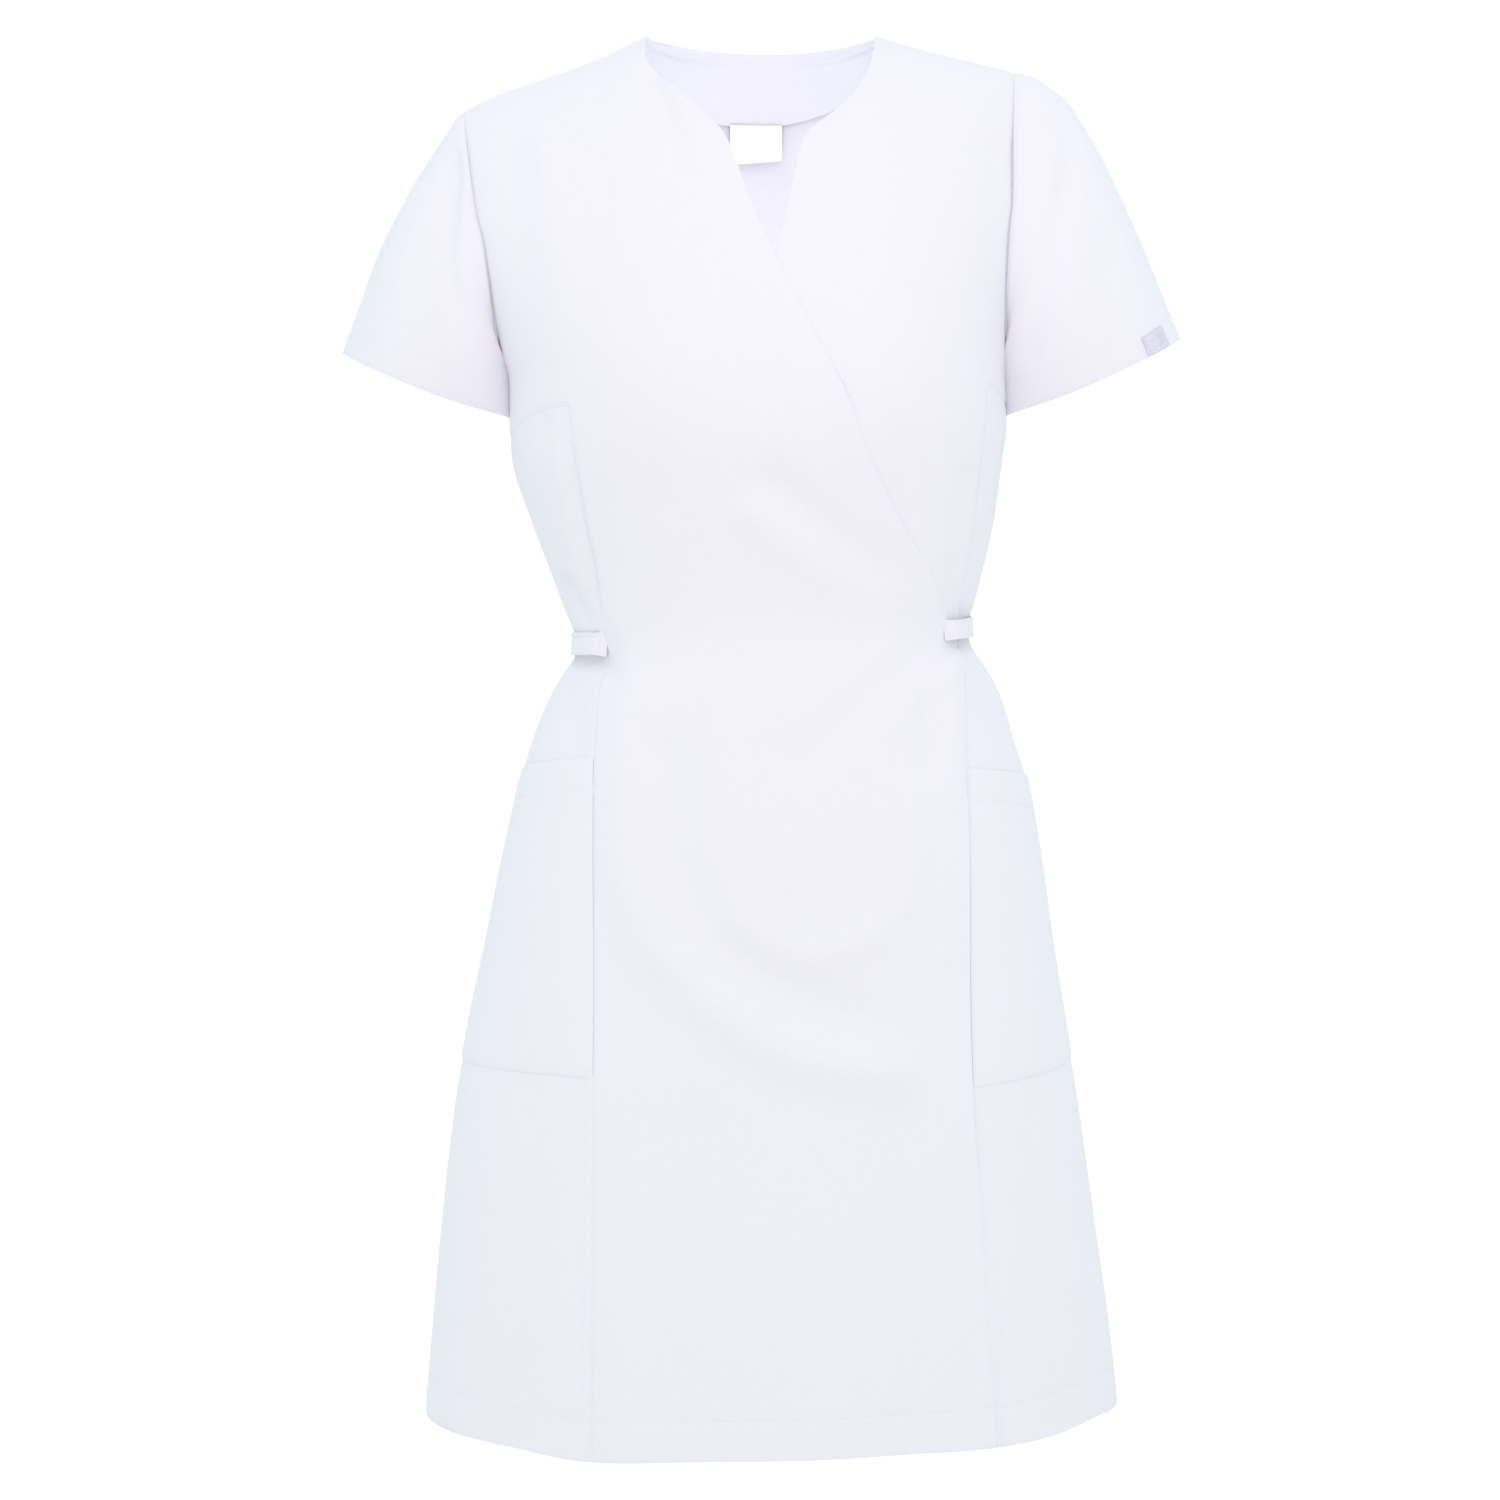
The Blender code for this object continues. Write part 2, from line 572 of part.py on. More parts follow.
def sleeve_turns():
    """Turns round a sleeve that meet the rows of the fronts and the back at the armhole seam."""
    shares = 1 - np.array(CHEST_ROWS) / UNDERARM
    front = np.degrees(np.arccos(2 * shares - 1))
    return np.concatenate((front, 360 - front[-2:0:-1]))


def sleeve_normals(side, turn, along):
    """Outward unit normals of a sleeve."""
    along = np.clip(along, 0.01, 0.99)
    return -side * normals(lambda u, v: sleeve(side, u, v), turn, along, 0.2, 0.005)


def make_sleeve(name, side, colour):
    """Make one sleeve as an open tube from the armhole seam to its hem."""
    along, turn = np.meshgrid(SLEEVE_ROWS, sleeve_turns(), indexing="ij")
    face, out = sleeve(side, turn, along), sleeve_normals(side, turn, along)
    angle, up, share = on_armhole(turn[0])
    from_body = body_normals(side * angle, up)
    away = face[1] - face[0]
    away = away / np.linalg.norm(away, axis=-1, keepdims=True)
    low = (1 - share)[:, None] ** 2
    face[0] += away * SLEEVE_START + from_body * low * UNDERARM_EASE
    mitre = from_body + out[0]
    mitre[np.linalg.norm(mitre, axis=-1) < 0.3] = (0, 0, -1)
    out[0] = mitre / np.linalg.norm(mitre, axis=-1, keepdims=True)
    faces = grid_faces(*turn.shape, closed=True)
    return make_cloth(name, face.reshape(-1, 3), (face - out * WALL).reshape(-1, 3), faces, colour,
                      flip=side == LEFT)


def make_tab(name, side, colour):
    """Make the small tab at a sleeve's hem from the sleeve's points, moved out."""
    along, turn = np.meshgrid(np.linspace(*TAB_ALONG, 3), np.linspace(*TAB_TURNS, 4), indexing="ij")
    face, out = sleeve(side, turn, along), sleeve_normals(side, turn, along)
    faces = grid_faces(*turn.shape)
    outer = (face + out * TAB_LIFT).reshape(-1, 3)
    inner = (face + out * (TAB_LIFT - LABEL_WALL)).reshape(-1, 3)
    return make_cloth(name, outer, inner, faces, colour, flip=side == LEFT)


WHITE = (0.93, 0.93, 0.97)
SHADED_WHITE = (0.87, 0.88, 0.93)
BELT_WHITE = (0.84, 0.86, 0.92)
LABEL_WHITE = (0.98, 0.98, 0.98)
TAB_GREY = (0.72, 0.72, 0.84)

for old in list(bpy.data.objects):
    bpy.data.objects.remove(old)

make_front("front_over", RIGHT, OVER_EDGE, True, WHITE)
make_front("front_under", LEFT, UNDER_EDGE, False, WHITE)
make_side_panel("side_panel_right", RIGHT, SHADED_WHITE)
make_side_panel("side_panel_left", LEFT, SHADED_WHITE)
make_back("back", WHITE)
make_sleeve("sleeve_right", RIGHT, SHADED_WHITE)
make_sleeve("sleeve_left", LEFT, SHADED_WHITE)
make_pocket("pocket_right", RIGHT, SHADED_WHITE)
make_pocket("pocket_left", LEFT, SHADED_WHITE)
make_belt("belt", BELT_WHITE)
make_facing("back_neck_facing", WHITE)
make_label("neck_label", LABEL_WHITE)
make_tab("sleeve_tab", LEFT, TAB_GREY)
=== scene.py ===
"""Wrap-front nurse uniform dress in white poplin, as worn with no wearer in it.

Sections work in millimetres and turn them into metres when a mesh is made.  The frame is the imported
part's: the origin lies midway between the neck points of the shoulder seams, +Z is up, the dress
faces -Y and +X is the wearer's left.  "Right" and "left" are the wearer's.
"""

import bpy
import numpy as np
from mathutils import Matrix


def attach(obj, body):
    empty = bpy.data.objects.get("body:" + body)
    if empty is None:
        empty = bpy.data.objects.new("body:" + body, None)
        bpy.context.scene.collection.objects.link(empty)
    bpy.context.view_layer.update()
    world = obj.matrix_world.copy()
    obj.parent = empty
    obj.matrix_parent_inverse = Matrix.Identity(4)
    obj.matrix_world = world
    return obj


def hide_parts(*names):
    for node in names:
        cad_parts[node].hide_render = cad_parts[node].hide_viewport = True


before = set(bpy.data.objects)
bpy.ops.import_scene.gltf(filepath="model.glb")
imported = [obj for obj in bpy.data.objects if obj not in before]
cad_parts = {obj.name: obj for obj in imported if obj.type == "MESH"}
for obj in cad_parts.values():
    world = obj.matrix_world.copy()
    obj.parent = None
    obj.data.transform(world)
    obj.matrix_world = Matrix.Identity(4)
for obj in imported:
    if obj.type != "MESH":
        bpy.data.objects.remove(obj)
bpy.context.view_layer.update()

# ==== The back ================================================================================
# One plain panel of poplin, cut in one from the neck to the hem and from side seam to side seam.
# It sets the form of the whole dress, which hangs from the shoulder seams and is drawn in at the
# waist by the half belt.  The hem is turned up 25 mm and stitched.

MM = 0.001
CLOTH = 0.9             # thickness that one layer of poplin is drawn with
TURNED = 0.8            # added to it where cloth is turned under, as in a hem
HEM_TURN = 25.0
STEP = 3.4              # usual distance between two points of a cloth grid
SEAM_DIP = 0.9          # how far cloth dips into a seam, and how wide the dip is
SEAM_WIDE = 1.7
STITCH_DIP = 0.35       # how far a line of stitching draws the cloth in
UNDERARM = -232.0       # height of the lowest point of the armholes
HEM_LEVEL = -918.0      # usual height of the hem, which rises and falls a little round the dress
SKIRT_TOP = -640.0      # below this height the rows of the skirt bend to meet the hem
SHOULDER_ARC = 200.0    # radius that turns the climb over the shoulder into a length
TOP = SHOULDER_ARC * np.pi / 2
SQUARENESS = 2.3        # exponent of the oval sections: 2 is an ellipse
ROUNDNESS = 2.25        # exponent of the curve over the shoulders: 2 is an ellipse
NECK_HALF = (-80.0, 71.5)   # x of the neck points of the shoulder seams
NECK_RISE = 40.0        # how far the back would climb past the neck points at the centre back
RIGHT, LEFT = -1, 1


def table(columns, rows):
    """Turn rows of numbers into one array for each named column."""
    return dict(zip(columns.split(), np.array(rows, dtype=float).T))


# Oval sections: half widths to the right and left, depths to the front and back of the side seams
FORM = table("height right left front back", [
    (0, 226, 182, 95, 97),
    (-56, 219, 179.5, 101, 103),
    (-102, 213, 179, 108, 108),
    (-148, 200.5, 171, 115, 110),
    (-183, 189, 163.5, 119, 109),
    (-214, 179.3, 159.5, 121, 106),
    (-232, 173.5, 158.5, 121.5, 104),
    (-262, 171.7, 158.3, 120, 100),
    (-282, 170.3, 155.7, 117, 97),
    (-322, 157.7, 150.3, 107, 90),
    (-362, 142.7, 141.3, 97, 84),
    (-382, 135.2, 136, 93, 82),
    (-392, 131, 133.2, 91.5, 81.5),
    (-402, 127.8, 134.2, 91, 82),
    (-412, 128.4, 139, 91.7, 84),
    (-422, 135, 146, 93, 87),
    (-442, 146.3, 155.7, 97, 94),
    (-468, 156.7, 163.3, 101, 102),
    (-495, 164.5, 172, 105, 109),
    (-548, 176.5, 181.2, 111, 119),
    (-602, 187.2, 188.6, 115, 125),
    (-655, 198.6, 197.3, 119, 128),
    (-709, 208, 206, 123, 131),
    (-788, 217, 217, 129, 136),
    (-868, 224, 228, 135, 141),
    (-930, 229, 234, 139, 145)])
RIGHT_SHOULDER = table("x height", [(80, 0), (95, -7), (111, -15), (133, -23), (157, -31), (180, -39),
                                    (203, -50), (240, -68)])
LEFT_SHOULDER = table("x height", [(71.5, 0), (90, -6), (121, -14), (158, -22.5), (200, -34)])
# Armhole seam: turn runs from 0 at the shoulder tip to 180 at the underarm, angle is round the body
ARMHOLE = table("turn angle", [(0, 62), (60, 62), (90, 61.5), (106, 64.3), (125, 70.5), (148, 79.8),
                               (180, 90)])
HEM = table("angle height", [
    (-90, -913), (-75, -914), (-58, -916.6), (-41, -920.5), (-27, -925), (-9, -923.2), (18, -919.2),
    (34, -918), (42, -916.4), (51, -913.5), (58, -910), (68, -906.5), (90, -907), (180, -913),
    (270, -913)])


def curve(columns, knots, values, at):
    """Read a column of a table on a smooth curve that never overshoots its rows."""
    knots, values = columns[knots], columns[values]
    if knots[0] > knots[-1]:
        knots, values = knots[::-1], values[::-1]
    spans = np.diff(knots)
    slopes = np.diff(values) / spans
    before, after = slopes[:-1], slopes[1:]
    turning = before * after <= 0
    total = np.where(turning, 1, before + after)
    inner = np.where(turning, 0, 2 * before * after / total)
    tangents = np.concatenate((slopes[:1], inner, slopes[-1:]))
    at = np.clip(at, knots[0], knots[-1])
    k = np.clip(np.searchsorted(knots, at) - 1, 0, len(spans) - 1)
    t = (at - knots[k]) / spans[k]
    start = (1 + 2 * t) * values[k] + t * spans[k] * tangents[k]
    end = (3 - 2 * t) * values[k + 1] + (t - 1) * spans[k] * tangents[k + 1]
    return (1 - t) ** 2 * start + t ** 2 * end


def ease(t):
    """Soft step from 0 to 1."""
    t = np.clip(t, 0, 1)
    return t * t * (3 - 2 * t)


def bell(distance, wide):
    """Smooth bump of height 1 round distance 0."""
    return np.exp(-(distance / wide) ** 2)


def oval(angle):
    """Shares of the half width (+X) and of the depth (towards the front) at an angle round the body."""
    angle = np.radians(angle)
    across = np.sign(np.sin(angle)) * np.abs(np.sin(angle)) ** (2 / SQUARENESS)
    forward = np.sign(np.cos(angle)) * np.abs(np.cos(angle)) ** (2 / SQUARENESS)
    return across, forward


def climb(height):
    """Length up the cloth from the underarm, for a height of the FORM table."""
    share = np.clip(1 - np.asarray(height, dtype=float) / UNDERARM, 0, 1)
    return np.where(share > 0, SHOULDER_ARC * np.arcsin(share ** (ROUNDNESS / 2)), height - UNDERARM)


def over_shoulder(up):
    """Shares of the way from underarm to shoulder line, and of the depth left there."""
    turn = np.clip(up / SHOULDER_ARC, 0, np.pi / 2)
    return np.sin(turn) ** (2 / ROUNDNESS), np.cos(turn) ** (2 / ROUNDNESS)


def height_of(up):
    """Height of the FORM table, for a length up the cloth."""
    return np.where(up > 0, UNDERARM * (1 - over_shoulder(up)[0]), up + UNDERARM)


def neck_rise(x):
    """Extra climb of the back between the neck points."""
    share = np.clip(np.where(x < 0, x / NECK_HALF[0], x / NECK_HALF[1]), 0, 1)
    return NECK_RISE * (1 - share ** 2) ** 2


def top_of(x):
    """Height of the shoulder line over each x, level between the neck points."""
    return np.where(x < 0, curve(RIGHT_SHOULDER, "x", "height", -x),
                    curve(LEFT_SHOULDER, "x", "height", x))


def half_width(x, height):
    """Half width of the oval of a height, on the side that x lies on."""
    return np.where(x < 0, curve(FORM, "height", "right", height), curve(FORM, "height", "left", height))


def body(angle, up):
    """Points of the outer face of the dress before its folds; angle 0 is centre front, 90 the left."""
    across, forward = oval(angle)
    height = height_of(up)
    x = across * half_width(across, height)
    depth = np.where(forward > 0, curve(FORM, "height", "front", height),
                     curve(FORM, "height", "back", height))
    top = top_of(x) + np.where(forward < 0, neck_rise(x), 0)
    share, left_over = over_shoulder(up)
    z = np.where(up > 0, UNDERARM + (top - UNDERARM) * share, height)
    return np.stack((x, -forward * depth * left_over, z), axis=-1)


def angle_at(x, height):
    """Angle round the front at which the oval of a height has the given x."""
    share = np.clip(np.abs(x) / half_width(x, height), 0, 1) ** (SQUARENESS / 2)
    return np.sign(x) * np.degrees(np.arcsin(share))


def armhole_angle(height):
    """Angle round the front of the armhole seam, or of the side seam below the underarm."""
    share = np.clip(1 - np.asarray(height, dtype=float) / UNDERARM, 0, 1)
    return curve(ARMHOLE, "turn", "angle", np.degrees(np.arccos(2 * share - 1)))


def back_climb(x, z):
    """Length up the back at which the cloth over x reaches a height above the underarm."""
    share = np.clip((z - UNDERARM) / (top_of(x) + neck_rise(x) - UNDERARM), 0, 1)
    return SHOULDER_ARC * np.arcsin(share ** (ROUNDNESS / 2))


def shares(length, step=STEP, fine=(0, 0.7, 1.5, 2.6, 4.2)):
    """Shares of a length, about a step apart and closer together near both ends."""
    near = np.array(fine) / length
    count = max(round((length - 2 * fine[-1]) / step), 2)
    middle = np.linspace(near[-1], 1 - near[-1], count + 1)[1:-1]
    return np.concatenate((near, middle, 1 - near[::-1]))


def outward(points, centre, closed=False):
    """Unit normals of a grid of points, facing away from the centre of the hollow."""
    down = np.gradient(points, axis=0)
    if closed:
        across = np.roll(points, -1, axis=1) - np.roll(points, 1, axis=1)
    else:
        across = np.gradient(points, axis=1)
    cross = np.cross(down, across)
    cross /= np.linalg.norm(cross, axis=-1, keepdims=True) + 1e-12
    return cross * np.sign(np.sum(cross * (points - centre)))


def fold_rise(x, z, folds):
    """How far folds lift the cloth: each is (wide, first rise, last rise, points of its route)."""
    total = np.zeros_like(x)
    for wide, first, last, route in folds:
        route = np.array(route, dtype=float)
        steps = np.linspace(0, len(route) - 1, 12 * (len(route) - 1) + 1)
        knots = np.arange(len(route))
        columns = [{"at": knots, "value": route[:, i]} for i in (0, 1)]
        rx, rz = (curve(column, "at", "value", steps) for column in columns)
        near = (x > rx.min() - 3 * wide) & (x < rx.max() + 3 * wide)
        near &= (z > rz.min() - 3 * wide) & (z < rz.max() + 3 * wide)
        px, pz = x[near], z[near]
        best, along = np.full(px.shape, 1e9), np.zeros(px.shape)
        for i in range(len(rx) - 1):
            ax, az = rx[i + 1] - rx[i], rz[i + 1] - rz[i]
            t = np.clip(((px - rx[i]) * ax + (pz - rz[i]) * az) / (ax * ax + az * az), 0, 1)
            distance = np.hypot(px - rx[i] - t * ax, pz - rz[i] - t * az)
            along = np.where(distance < best, (i + t) / (len(rx) - 1), along)
            best = np.minimum(distance, best)
        total[near] += bell(best, wide) * (first + (last - first) * along)
    return total


rng = np.random.default_rng(38)
RIPPLES = [(rng.uniform(0.02, 0.09) * np.array([np.cos(a), np.sin(a)]), rng.uniform(0, 6.28))
           for a in rng.uniform(0, np.pi, 14)]


def ripple(x, z):
    """Slight unevenness that pressed cloth keeps."""
    return 0.07 * sum(np.sin(way[0] * x + way[1] * z + phase) for way, phase in RIPPLES)


def node(tree, kind, inputs=None, **settings):
    """Add a node with its settings, and set or link its inputs."""
    made = tree.nodes.new(kind)
    for name, value in settings.items():
        setattr(made, name, value)
    for name, value in (inputs or {}).items():
        if isinstance(value, bpy.types.NodeSocket):
            tree.links.new(value, made.inputs[name])
        else:
            made.inputs[name].default_value = value
    return made


def linear(colour):
    """Linear RGBA of an sRGB hex colour."""
    share = np.array([int(colour[i:i + 2], 16) for i in (1, 3, 5)]) / 255
    return (*np.where(share <= 0.04045, share / 12.92, ((share + 0.055) / 1.055) ** 2.4), 1.0)


def woven(name, pale, deep, thread, height, roughness, sheen):
    """Plain-woven cloth: threads that cross over and under, thicker here and thinner there."""
    material = bpy.data.materials.new(name)
    material.use_nodes = True
    tree = material.node_tree
    cut = node(tree, "ShaderNodeUVMap", uv_map="cut").outputs["UV"]
    wave = 2 * np.pi / 20 / (thread * MM)
    warp = node(tree, "ShaderNodeTexWave", {"Vector": cut, "Scale": wave}, bands_direction="X")
    weft = node(tree, "ShaderNodeTexWave", {"Vector": cut, "Scale": wave}, bands_direction="Y")
    crossing = node(tree, "ShaderNodeMath", {0: warp.outputs["Fac"], 1: weft.outputs["Fac"]},
                    operation="MULTIPLY")
    slubs = []
    for stretch in ((1, 0.2, 1), (0.2, 1, 1)):
        way = node(tree, "ShaderNodeMapping", {"Vector": cut, "Scale": stretch})
        slubs.append(node(tree, "ShaderNodeTexNoise", {"Vector": way.outputs["Vector"], "Detail": 1.0,
                                                       "Scale": 1 / (4 * thread * MM)}))
    slub = node(tree, "ShaderNodeMath", {0: slubs[0].outputs["Fac"], 1: slubs[1].outputs["Fac"]})
    relief = node(tree, "ShaderNodeMath", {0: slub.outputs[0], 1: 0.5, 2: crossing.outputs[0]},
                  operation="MULTIPLY_ADD")
    bump = node(tree, "ShaderNodeBump", {"Height": relief.outputs[0], "Distance": height * MM})
    mottle = node(tree, "ShaderNodeTexNoise", {"Vector": cut, "Scale": 45.0, "Detail": 4.0})
    mixed = node(tree, "ShaderNodeMath", {0: mottle.outputs["Fac"], 1: 0.5, 2: slub.outputs[0]},
                 operation="MULTIPLY_ADD")
    share = node(tree, "ShaderNodeMapRange", {"Value": mixed.outputs[0], "From Min": 0.9, "From Max": 1.6})
    tint = node(tree, "ShaderNodeMix", {0: share.outputs["Result"], 6: linear(deep), 7: linear(pale)},
                data_type="RGBA")
    shader = tree.nodes["Principled BSDF"]
    tree.links.new(tint.outputs[2], shader.inputs["Base Color"])
    tree.links.new(bump.outputs["Normal"], shader.inputs["Normal"])
    shader.inputs["Roughness"].default_value = roughness
    shader.inputs["Specular IOR Level"].default_value = 0.25
    shader.inputs["Sheen Weight"].default_value = sheen
    return material


# Poplin of polyester and cotton, bleached and pressed.  Its threads are about 0.3 mm apart, too fine
# to show at arm's length, so they are drawn 1.1 mm apart and very low: the cloth looks matt and even.
poplin = woven("bleached_poplin_plain_weave", "#e8e8ef", "#e7e7ee", 1.1, 0.02, 0.8, 0.1)
# Polyester sewing thread: round, tight and a little brighter than the cloth around it
thread = woven("polyester_sewing_thread", "#ecedf3", "#e8e9f0", 0.3, 0.02, 0.55, 0.0)


def add_piece(name, points, faces, cut, material):
    """Add a mesh of points in millimetres, with its cut coordinates, to the dress."""
    mesh = bpy.data.meshes.new(name)
    mesh.from_pydata((points * MM).tolist(), [], faces)
    corners = np.array([v for face in faces for v in face])
    mesh.uv_layers.new(name="cut").data.foreach_set("uv", (cut[corners] * MM).ravel())
    mesh.shade_smooth()
    mesh.set_sharp_from_angle(angle=np.radians(50))
    mesh.materials.append(material)
    piece = bpy.data.objects.new(name, mesh)
    bpy.context.collection.objects.link(piece)
    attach(piece, "root")
    return piece


def make_cloth(name, outer, out, replaces, wall=CLOTH, keep=None, closed=False, material=poplin):
    """Make a thin shell of cloth from a grid of points on its outer face and their unit normals."""
    rows, columns = outer.shape[:2]
    count = rows * columns
    number = np.arange(count).reshape(rows, columns)
    left, right = (number, np.roll(number, -1, axis=1)) if closed else (number[:, :-1], number[:, 1:])
    faces = np.stack((left[:-1], left[1:], right[1:], right[:-1]), axis=-1)
    faces = faces[keep] if keep is not None else faces.reshape(-1, 4)
    flat = outer.reshape(-1, 3)
    corner, down, _, across = flat[faces].transpose(1, 0, 2)
    if np.sum(np.cross(down - corner, across - corner) * out.reshape(-1, 3)[faces[:, 0]]) < 0:
        faces = faces[:, ::-1]
    edges = np.concatenate([faces[:, (i, (i + 1) % 4)] for i in range(4)])
    lone = ~np.isin(edges[:, 0] * count + edges[:, 1], edges[:, 1] * count + edges[:, 0])
    a, b = edges[lone].T
    rim = np.stack((b, a, a + count, b + count), axis=1)
    inner = outer - out * np.broadcast_to(wall, (rows, columns))[..., None]
    used, walls = np.unique(np.concatenate((faces, faces[:, ::-1] + count, rim)), return_inverse=True)
    across = np.linalg.norm(np.diff(outer, axis=1, prepend=outer[:, :1]), axis=-1).cumsum(axis=1)
    down = np.linalg.norm(np.diff(outer, axis=0, prepend=outer[:1]), axis=-1).cumsum(axis=0)
    cut = np.stack((across - across[:, columns // 2, None], -down), axis=-1).reshape(-1, 2)
    points = np.concatenate((flat, inner.reshape(-1, 3)))[used]
    piece = add_piece(name, points, walls.reshape(-1, 4).tolist(), np.tile(cut, (2, 1))[used], material)
    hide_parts(replaces)
    return piece


def stitch(name, route, out, length=2.7, gap=0.8, thick=0.42):
    """Make a line of lockstitches along a route of points: short round threads that lie on the cloth."""
    along = np.concatenate(([0], np.linalg.norm(np.diff(route, axis=0), axis=1).cumsum()))
    turns = np.radians(np.arange(0, 360, 60))
    points, faces = [], []
    for start in np.arange(gap, along[-1] - length, length + gap):
        first, last = (np.array([np.interp(at, along, line) for line in route.T])
                       for at in (start, start + length))
        up = np.array([np.interp(start, along, line) for line in out.T])
        aside = np.cross(last - first, up)
        aside /= np.linalg.norm(aside)
        base = 6 * len(points)
        for share, swell, lift in ((0, 0.5, -0.1), (0.5, 1, 0.12), (1, 0.5, -0.1)):
            ring = np.outer(np.cos(turns), aside) + np.outer(np.sin(turns), up)
            points.append(first + (last - first) * share + up * lift + ring * thick / 2 * swell)
        for i in range(6):
            j = (i + 1) % 6
            faces += [[base + r + i, base + r + j, base + r + 6 + j, base + r + 6 + i] for r in (0, 6)]
        faces += [[base + i for i in reversed(range(6))], [base + 12 + i for i in range(6)]]
    points = np.concatenate(points)
    return add_piece(name, points, faces, points[:, [0, 2]], thread)


def settle(points, out, folds, weight):
    """Move a grid of points out by its folds and the slight unevenness of the cloth."""
    x, z = points[..., 0], points[..., 2]
    return points + out * ((fold_rise(x, z, folds) + ripple(x, z)) * weight)[..., None]


def rows_down(top, bottom, step=STEP):
    """Climbs of the rows from a top to a bottom edge, closer at both and about the hem's stitching."""
    up = top + (bottom - top) * shares(top - bottom, step)
    hem = climb(HEM_LEVEL) + HEM_TURN + np.array([-2, -0.9, 0, 0.9, 2])
    return np.sort(np.concatenate((up[np.abs(up - hem[2]) > 3], hem)))[::-1]


def on_hem(angle, height):
    """Lower or raise the rows of a skirt so that the last one lies on the hem."""
    share = np.clip((SKIRT_TOP - height) / (SKIRT_TOP - HEM_LEVEL), 0, 1)
    return height + (curve(HEM, "angle", "height", angle) - HEM_LEVEL) * share


def hem_dip(above):
    """How far the hem's stitching and folded edge draw the cloth in."""
    return STITCH_DIP * bell(above - HEM_TURN, 1.3) + 0.35 * bell(above, 1.4)


def hem_wall(above):
    """Thickness of the cloth, doubled where the hem is turned up."""
    return CLOTH + TURNED * ease((HEM_TURN + 1.2 - above) / 1.5)


def to_side(points, column):
    """Distance of each point of a grid from a column of its own row."""
    return np.linalg.norm(points - points[:, column][:, None], axis=-1)


def back_angles(height, left, middle, right):
    """Angles round the back of the columns at one height: armhole, neck points, armhole."""
    armhole = float(armhole_angle(height))
    near_top = float(ease(1 - height / UNDERARM))
    ends = [abs(float(angle_at(np.array(x), np.array(float(height))))) for x in NECK_HALF]
    neck_right, neck_left = (end * near_top + 0.42 * armhole * (1 - near_top) for end in ends)
    from_left = -armhole + (armhole - neck_left) * left
    to_right = armhole + (neck_right - armhole) * right
    return 180 + np.concatenate((from_left, np.where(middle > 0, neck_right, neck_left) * middle,
                                 to_right[::-1]))


def back_grid(left, middle, right, plain):
    """Angles and climbs of the back, its first row on the shoulder seams and the neck edge."""
    angle = np.array([back_angles(height, left, middle, right) for height in height_of(plain)])
    plain = np.repeat(plain[:, None], angle.shape[1], axis=1)
    up = plain
    for _ in range(4):
        x = body(angle, up)[..., 0]
        up = np.where(plain > 0, plain * back_climb(x, top_of(x)) / TOP, plain)
    return angle, np.where(plain > 0, up, climb(on_hem(angle, height_of(plain))))


BACK_FOLDS = [          # wide, first rise, last rise, route of (x, z)
    (15, 4.3, 1.1, [(-62, -404), (-78, -480), (-104, -640), (-124, -910)]),
    (12, -2.9, -0.7, [(-38, -404), (-46, -500), (-60, -700)]),
    (16, 4.0, 2.2, [(-8, -406), (-12, -520), (-22, -700), (-30, -920)]),
    (13, -3.2, -1.1, [(26, -404), (36, -500), (48, -680)]),
    (16, 4.3, 1.8, [(66, -402), (82, -470), (104, -640), (122, -910)]),
    (10, -2.9, 0.0, [(100, -398), (120, -460), (140, -560)]),
    (9, 2.5, 0.0, [(-96, -410), (-122, -470), (-150, -560)]),
    (26, 3.2, 6.1, [(40, -640), (46, -760), (52, -920)]),
    (26, -2.2, -4.7, [(-78, -640), (-86, -760), (-92, -920)]),
    (9, 3.2, 0.0, [(-70, -388), (-76, -350), (-100, -270)]),
    (8, 2.9, 0.0, [(-30, -388), (-34, -340), (-58, -250)]),
    (8, -2.5, 0.0, [(-50, -386), (-54, -350), (-72, -300)]),
    (8, 2.9, 0.0, [(24, -388), (22, -350), (30, -280)]),
    (9, 3.4, 0.0, [(64, -388), (74, -340), (104, -256)]),
    (8, -2.7, 0.0, [(45, -386), (48, -350), (60, -300)]),
    (12, -4.0, 0.0, [(-158, -236), (-120, -262), (-80, -310)]),
    (12, -3.6, 0.0, [(146, -232), (112, -256), (74, -300)]),
    (16, 3.2, 0.0, [(-150, -150), (-132, -230), (-104, -300)]),
    (16, 2.9, 0.0, [(134, -140), (120, -220), (96, -290)]),
    (30, 2.9, 0.7, [(-92, -120), (-84, -190)]),
    (30, 2.5, 0.7, [(84, -116), (78, -186)])]


def lay_back(angle, up):
    """Points and normals of the outer face of the back, with its folds."""
    points = body(angle, up)
    out = outward(points, points * (0, 0, 1))
    weight = ease(-3 * oval(angle)[1]) * ease(4 * over_shoulder(up)[1])
    return settle(points, out, BACK_FOLDS, weight), out


